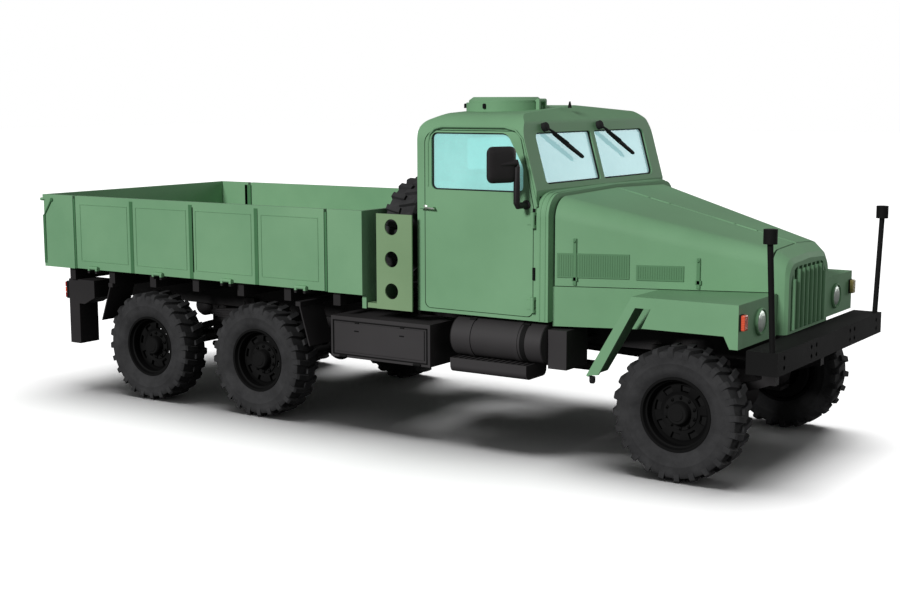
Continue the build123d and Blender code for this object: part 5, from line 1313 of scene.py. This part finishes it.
for side, sign in sides:
    form = Form()
    for x in (tank_low.x + band_inset, tank_high.x - band_inset):
        form.turned(band_profile(band_half, tank_radius), (x, sign * tank_y, tank_z), (1, 0, 0), closed=True)
        form.rod([(x + end, sign * clamp_y, clamp_z) for end in (-clamp_half, clamp_half)], clamp_radius, 8)
    for x in (tank_low.x + seam_inset, tank_high.x - seam_inset):
        form.turned(seam_profile, (x, sign * tank_y, tank_z), (1, 0, 0), closed=True)
    form.made("tank_straps_" + side, bumper_paint, "chassis")

# Boxes: the tool box has a folded edge round its lid, two hasps with pins and two hinge barrels; the step under
# each door has thirteen steel tread bars. All are welded or riveted on and painted black.
lid_y = 1.100
lid_rear_x, lid_front_x = -0.200, 0.716
lid_low_z, lid_top_z = 0.612, 0.890
lid_edge = 0.008
lid_sink, lid_proud = 0.002, 0.009
hasp_places = (0.04, 0.48)
hasp_half = 0.018
hasp_low_z = 0.80
hasp_top_gap = 0.005
hasp_pin_z = 0.812
hasp_pin_half = 0.022
hasp_pin_radius = 0.006
barrel_places = (-0.10, 0.62)
barrel_y = 1.106
barrel_z = 0.600
barrel_half = 0.035
barrel_radius = 0.009
tread_count = 13
tread_pitch = 0.0515
tread_x = 0.95
tread_half = 0.006
tread_z = 0.690
tread_thick = 0.0045
tread_inner_y, tread_outer_y = 0.96, 1.09
form = Form()
for side, sign in sides:
    root, face = sign * (lid_y - lid_sink), sign * (lid_y + lid_proud)
    for low_z in (lid_top_z - lid_edge, lid_low_z):
        form.box((lid_rear_x, root, low_z), (lid_front_x, face, low_z + lid_edge))
    for low_x in (lid_rear_x, lid_front_x - lid_edge):
        form.box((low_x, root, lid_low_z), (low_x + lid_edge, face, lid_top_z))
    for x in hasp_places:
        form.box((x - hasp_half, root, hasp_low_z), (x + hasp_half, face, lid_top_z - hasp_top_gap))
        form.rod([(x + end, face, hasp_pin_z) for end in (-hasp_pin_half, hasp_pin_half)], hasp_pin_radius, 8)
    for x in barrel_places:
        form.rod([(x + end, sign * barrel_y, barrel_z) for end in (-barrel_half, barrel_half)], barrel_radius, 10)
    for index in range(tread_count):
        x = tread_x + index * tread_pitch
        low = (x - tread_half, sign * tread_inner_y, tread_z)
        form.box(low, (x + tread_half, sign * tread_outer_y, tread_z + tread_thick))
form.made("box_fittings", bumper_paint, "chassis", bevel=0.0015)

# Roof hatch: a pressed lid with a stiffening bead and a bent wire handle; three stops for it and a short aerial
# foot are screwed to the roof. The lid's fittings are painted dark green, a painted shade; those of the roof are
# black.
hatch_x, hatch_y = 0.994, -0.42
hatch_top_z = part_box("roof_hatch")[1].z
lid_radius = 0.285
lid_bead = 0.006
lid_bead_radius = lid_radius * 0.72
lid_bead_drop = 0.0065
handle_half, handle_away = 0.07, 0.12
handle_wire_radius = 0.004
handle_foot_z, handle_top_z = 2.636, 2.640
stop_circle = 0.31
stop_z = 2.590
stop_profile = [(-0.03, 0.014), (0.0, 0.014), (0.006, 0.008)]
stop_turns = (150, 210, 270)
aerial_profile = [(0, 0.016), (0.012, 0.014), (0.05, 0.006)]
aerial_foot = (1.44, -0.20, 2.560)
form = Form()
bead = round_profile(lid_bead_radius, lid_bead, 8)
form.turned(bead, (hatch_x, hatch_y, hatch_top_z - lid_bead_drop), (0, 0, 1), closed=True)
line = [
    (-handle_half, handle_foot_z),
    (-handle_half, handle_top_z),
    (handle_half, handle_top_z),
    (handle_half, handle_foot_z),
]
form.rod([(hatch_x + x, hatch_y - handle_away, z) for x, z in line], handle_wire_radius, 8)
form.made("hatch_fittings", dark_painted_shade, "roof_hatch")
form = Form()
for turn_deg in stop_turns:
    a = math.radians(turn_deg)
    place = (hatch_x + stop_circle * math.cos(a), hatch_y + stop_circle * math.sin(a), stop_z)
    form.turned(stop_profile, place, (0, 0, 1), 12)
form.turned(aerial_profile, aerial_foot, (0, 0, 1), 14)
form.made("roof_stops", bumper_paint, "chassis")

# Bogie springs: packs of spring steel leaves under the main leaf, clamped on the trunnion by forged U-bolts.
# The leaves are oiled and dusty, and each is shorter than the one above.
bogie_x = (wheel_centre("tyre_middle_right").x + wheel_centre("tyre_rear_right").x) / 2
leaf_inner_y, leaf_outer_y = 0.433, 0.497
leaf_count = 11
leaf_pitch = 0.016
leaf_thick = 0.0135
leaf_half = 0.50
leaf_shorter = 0.030
leaf_drop = 0.045
pack_top_z = 0.775
plate_half = 0.062
plate_proud = 0.006
plate_low_z, plate_top_z = 0.582, 0.598
bolt_half = 0.048
bolt_low_z, bolt_top_z = 0.560, 0.845
bolt_gap = 0.004
u_bolt_radius = 0.009
u_bolt_nut = [(0, 0.016), (0.014, 0.016)]
nut_rise = 0.008
for side, sign in sides:
    form = Form()
    near, far = sorted((sign * leaf_inner_y, sign * leaf_outer_y))
    for index in range(leaf_count):
        half = leaf_half - leaf_shorter * index
        rings = []
        for step in range(9):
            x = half * (step / 4 - 1)
            top_z = pack_top_z - leaf_pitch * index - leaf_drop * (x / leaf_half) ** 2
            section = ((near, top_z), (far, top_z), (far, top_z - leaf_thick), (near, top_z - leaf_thick))
            rings.append([(bogie_x + x, y, z) for y, z in section])
        form.skin(rings)
    low = (bogie_x - plate_half, near - plate_proud, plate_low_z)
    form.box(low, (bogie_x + plate_half, far + plate_proud, plate_top_z))
    for x in (bogie_x - bolt_half, bogie_x + bolt_half):
        for y in (near - bolt_gap, far + bolt_gap):
            form.rod([(x, y, bolt_low_z), (x, y, bolt_top_z)], u_bolt_radius, 8)
            form.turned(u_bolt_nut, (x, y, bolt_low_z + nut_rise), (0, 0, 1), 6)
    form.made("bogie_leaves_" + side, chassis_paint, "chassis")

# Torque rods: forged steel rods from a bracket under the trunnion to both axles of the bogie, which hold the axles
# upright. They have a round boss at the bracket and are painted black.
rod_y = 0.36
rod_root = 0.06
rod_reach = 0.56
rod_root_z, rod_end_z = 0.47, 0.40
rod_radius = 0.026
boss_inner_y, boss_outer_y = 0.30, 0.42
boss_radius = 0.055
bracket_inner_y, bracket_outer_y = 0.385, 0.425
bracket_low_z, bracket_top_z = 0.46, 0.80
for side, sign in sides:
    form = Form()
    for way in (-1, 1):
        root = (bogie_x + way * rod_root, sign * rod_y, rod_root_z)
        form.rod([root, (bogie_x + way * rod_reach, sign * rod_y, rod_end_z)], rod_radius)
    form.rod([(bogie_x, sign * y, rod_root_z) for y in (boss_inner_y, boss_outer_y)], boss_radius, 20)
    low = (bogie_x - boss_radius, sign * bracket_inner_y, bracket_low_z)
    form.box(low, (bogie_x + boss_radius, sign * bracket_outer_y, bracket_top_z))
    form.made("torque_rods_" + side, chassis_paint, "chassis", bevel=0.004)

# Air reservoirs: welded steel bottles with domed ends for the brakes, hung across the frame in two flat straps
# each, near the two axles of the bogie.
bottle_radius = 0.095
bottle_half = 0.40
bottle_z = 0.745
bottle_behind = 0.05
loop_y = 0.24
loop_half = 0.016
hanger_half = 0.02
hanger_low_z, hanger_top_z = 0.83, 0.985
domed_end = [
    (-bottle_half, 0.012),
    (-bottle_half, 0.045),
    (-bottle_half + 0.018, 0.078),
    (-bottle_half + 0.045, bottle_radius),
]
bottle_strap = [(-loop_half, 0.001), (-loop_half, 0.004), (loop_half, 0.004), (loop_half, 0.001)]
form = Form()
for node in ("tyre_middle_right", "tyre_rear_right"):
    x = wheel_centre(node).x - bottle_behind
    profile = domed_end + [(-along, radius) for along, radius in reversed(domed_end)]
    form.turned(profile, (x, 0, bottle_z), (0, 1, 0), 40)
    for y in (-loop_y, loop_y):
        ring = [(along, bottle_radius + proud) for along, proud in bottle_strap]
        form.turned(ring, (x, y, bottle_z), (0, 1, 0), 40, closed=True)
        form.box((x - hanger_half, y - loop_half, hanger_low_z), (x + hanger_half, y + loop_half, hanger_top_z))
form.made("air_reservoirs", chassis_paint, "chassis")

# Brake chambers: pressed steel pots clamped round the middle, one ahead of each end of both bogie axles.
# Each is bolted to a bracket that is welded on the axle tube.
chamber_y = 0.335
chamber_z = 0.735
pot_profile = [
    (0.107, 0.060),
    (0.120, 0.080),
    (0.168, 0.082),
    (0.170, 0.092),
    (0.182, 0.092),
    (0.184, 0.082),
    (0.238, 0.080),
    (0.255, 0.062),
    (0.258, 0.010),
]
mount_rear_x, mount_front_x = 0.095, 0.107
mount_half = 0.065
mount_low_z, mount_top_z = 0.505, 0.790
foot_rear_x = -0.035
foot_half = 0.045
foot_top_z = 0.535
form = Form()
for node in ("tyre_middle_right", "tyre_rear_right"):
    axle = wheel_centre(node).x
    for side, sign in sides:
        y = sign * chamber_y
        form.turned(pot_profile, (axle, y, chamber_z), (1, 0, 0), 32)
        form.box(
            (axle + mount_rear_x, y - mount_half, mount_low_z),
            (axle + mount_front_x, y + mount_half, mount_top_z),
        )
        form.box((axle + foot_rear_x, y - foot_half, mount_low_z), (axle + mount_front_x, y + foot_half, foot_top_z))
form.made("brake_chambers", chassis_paint, "chassis")
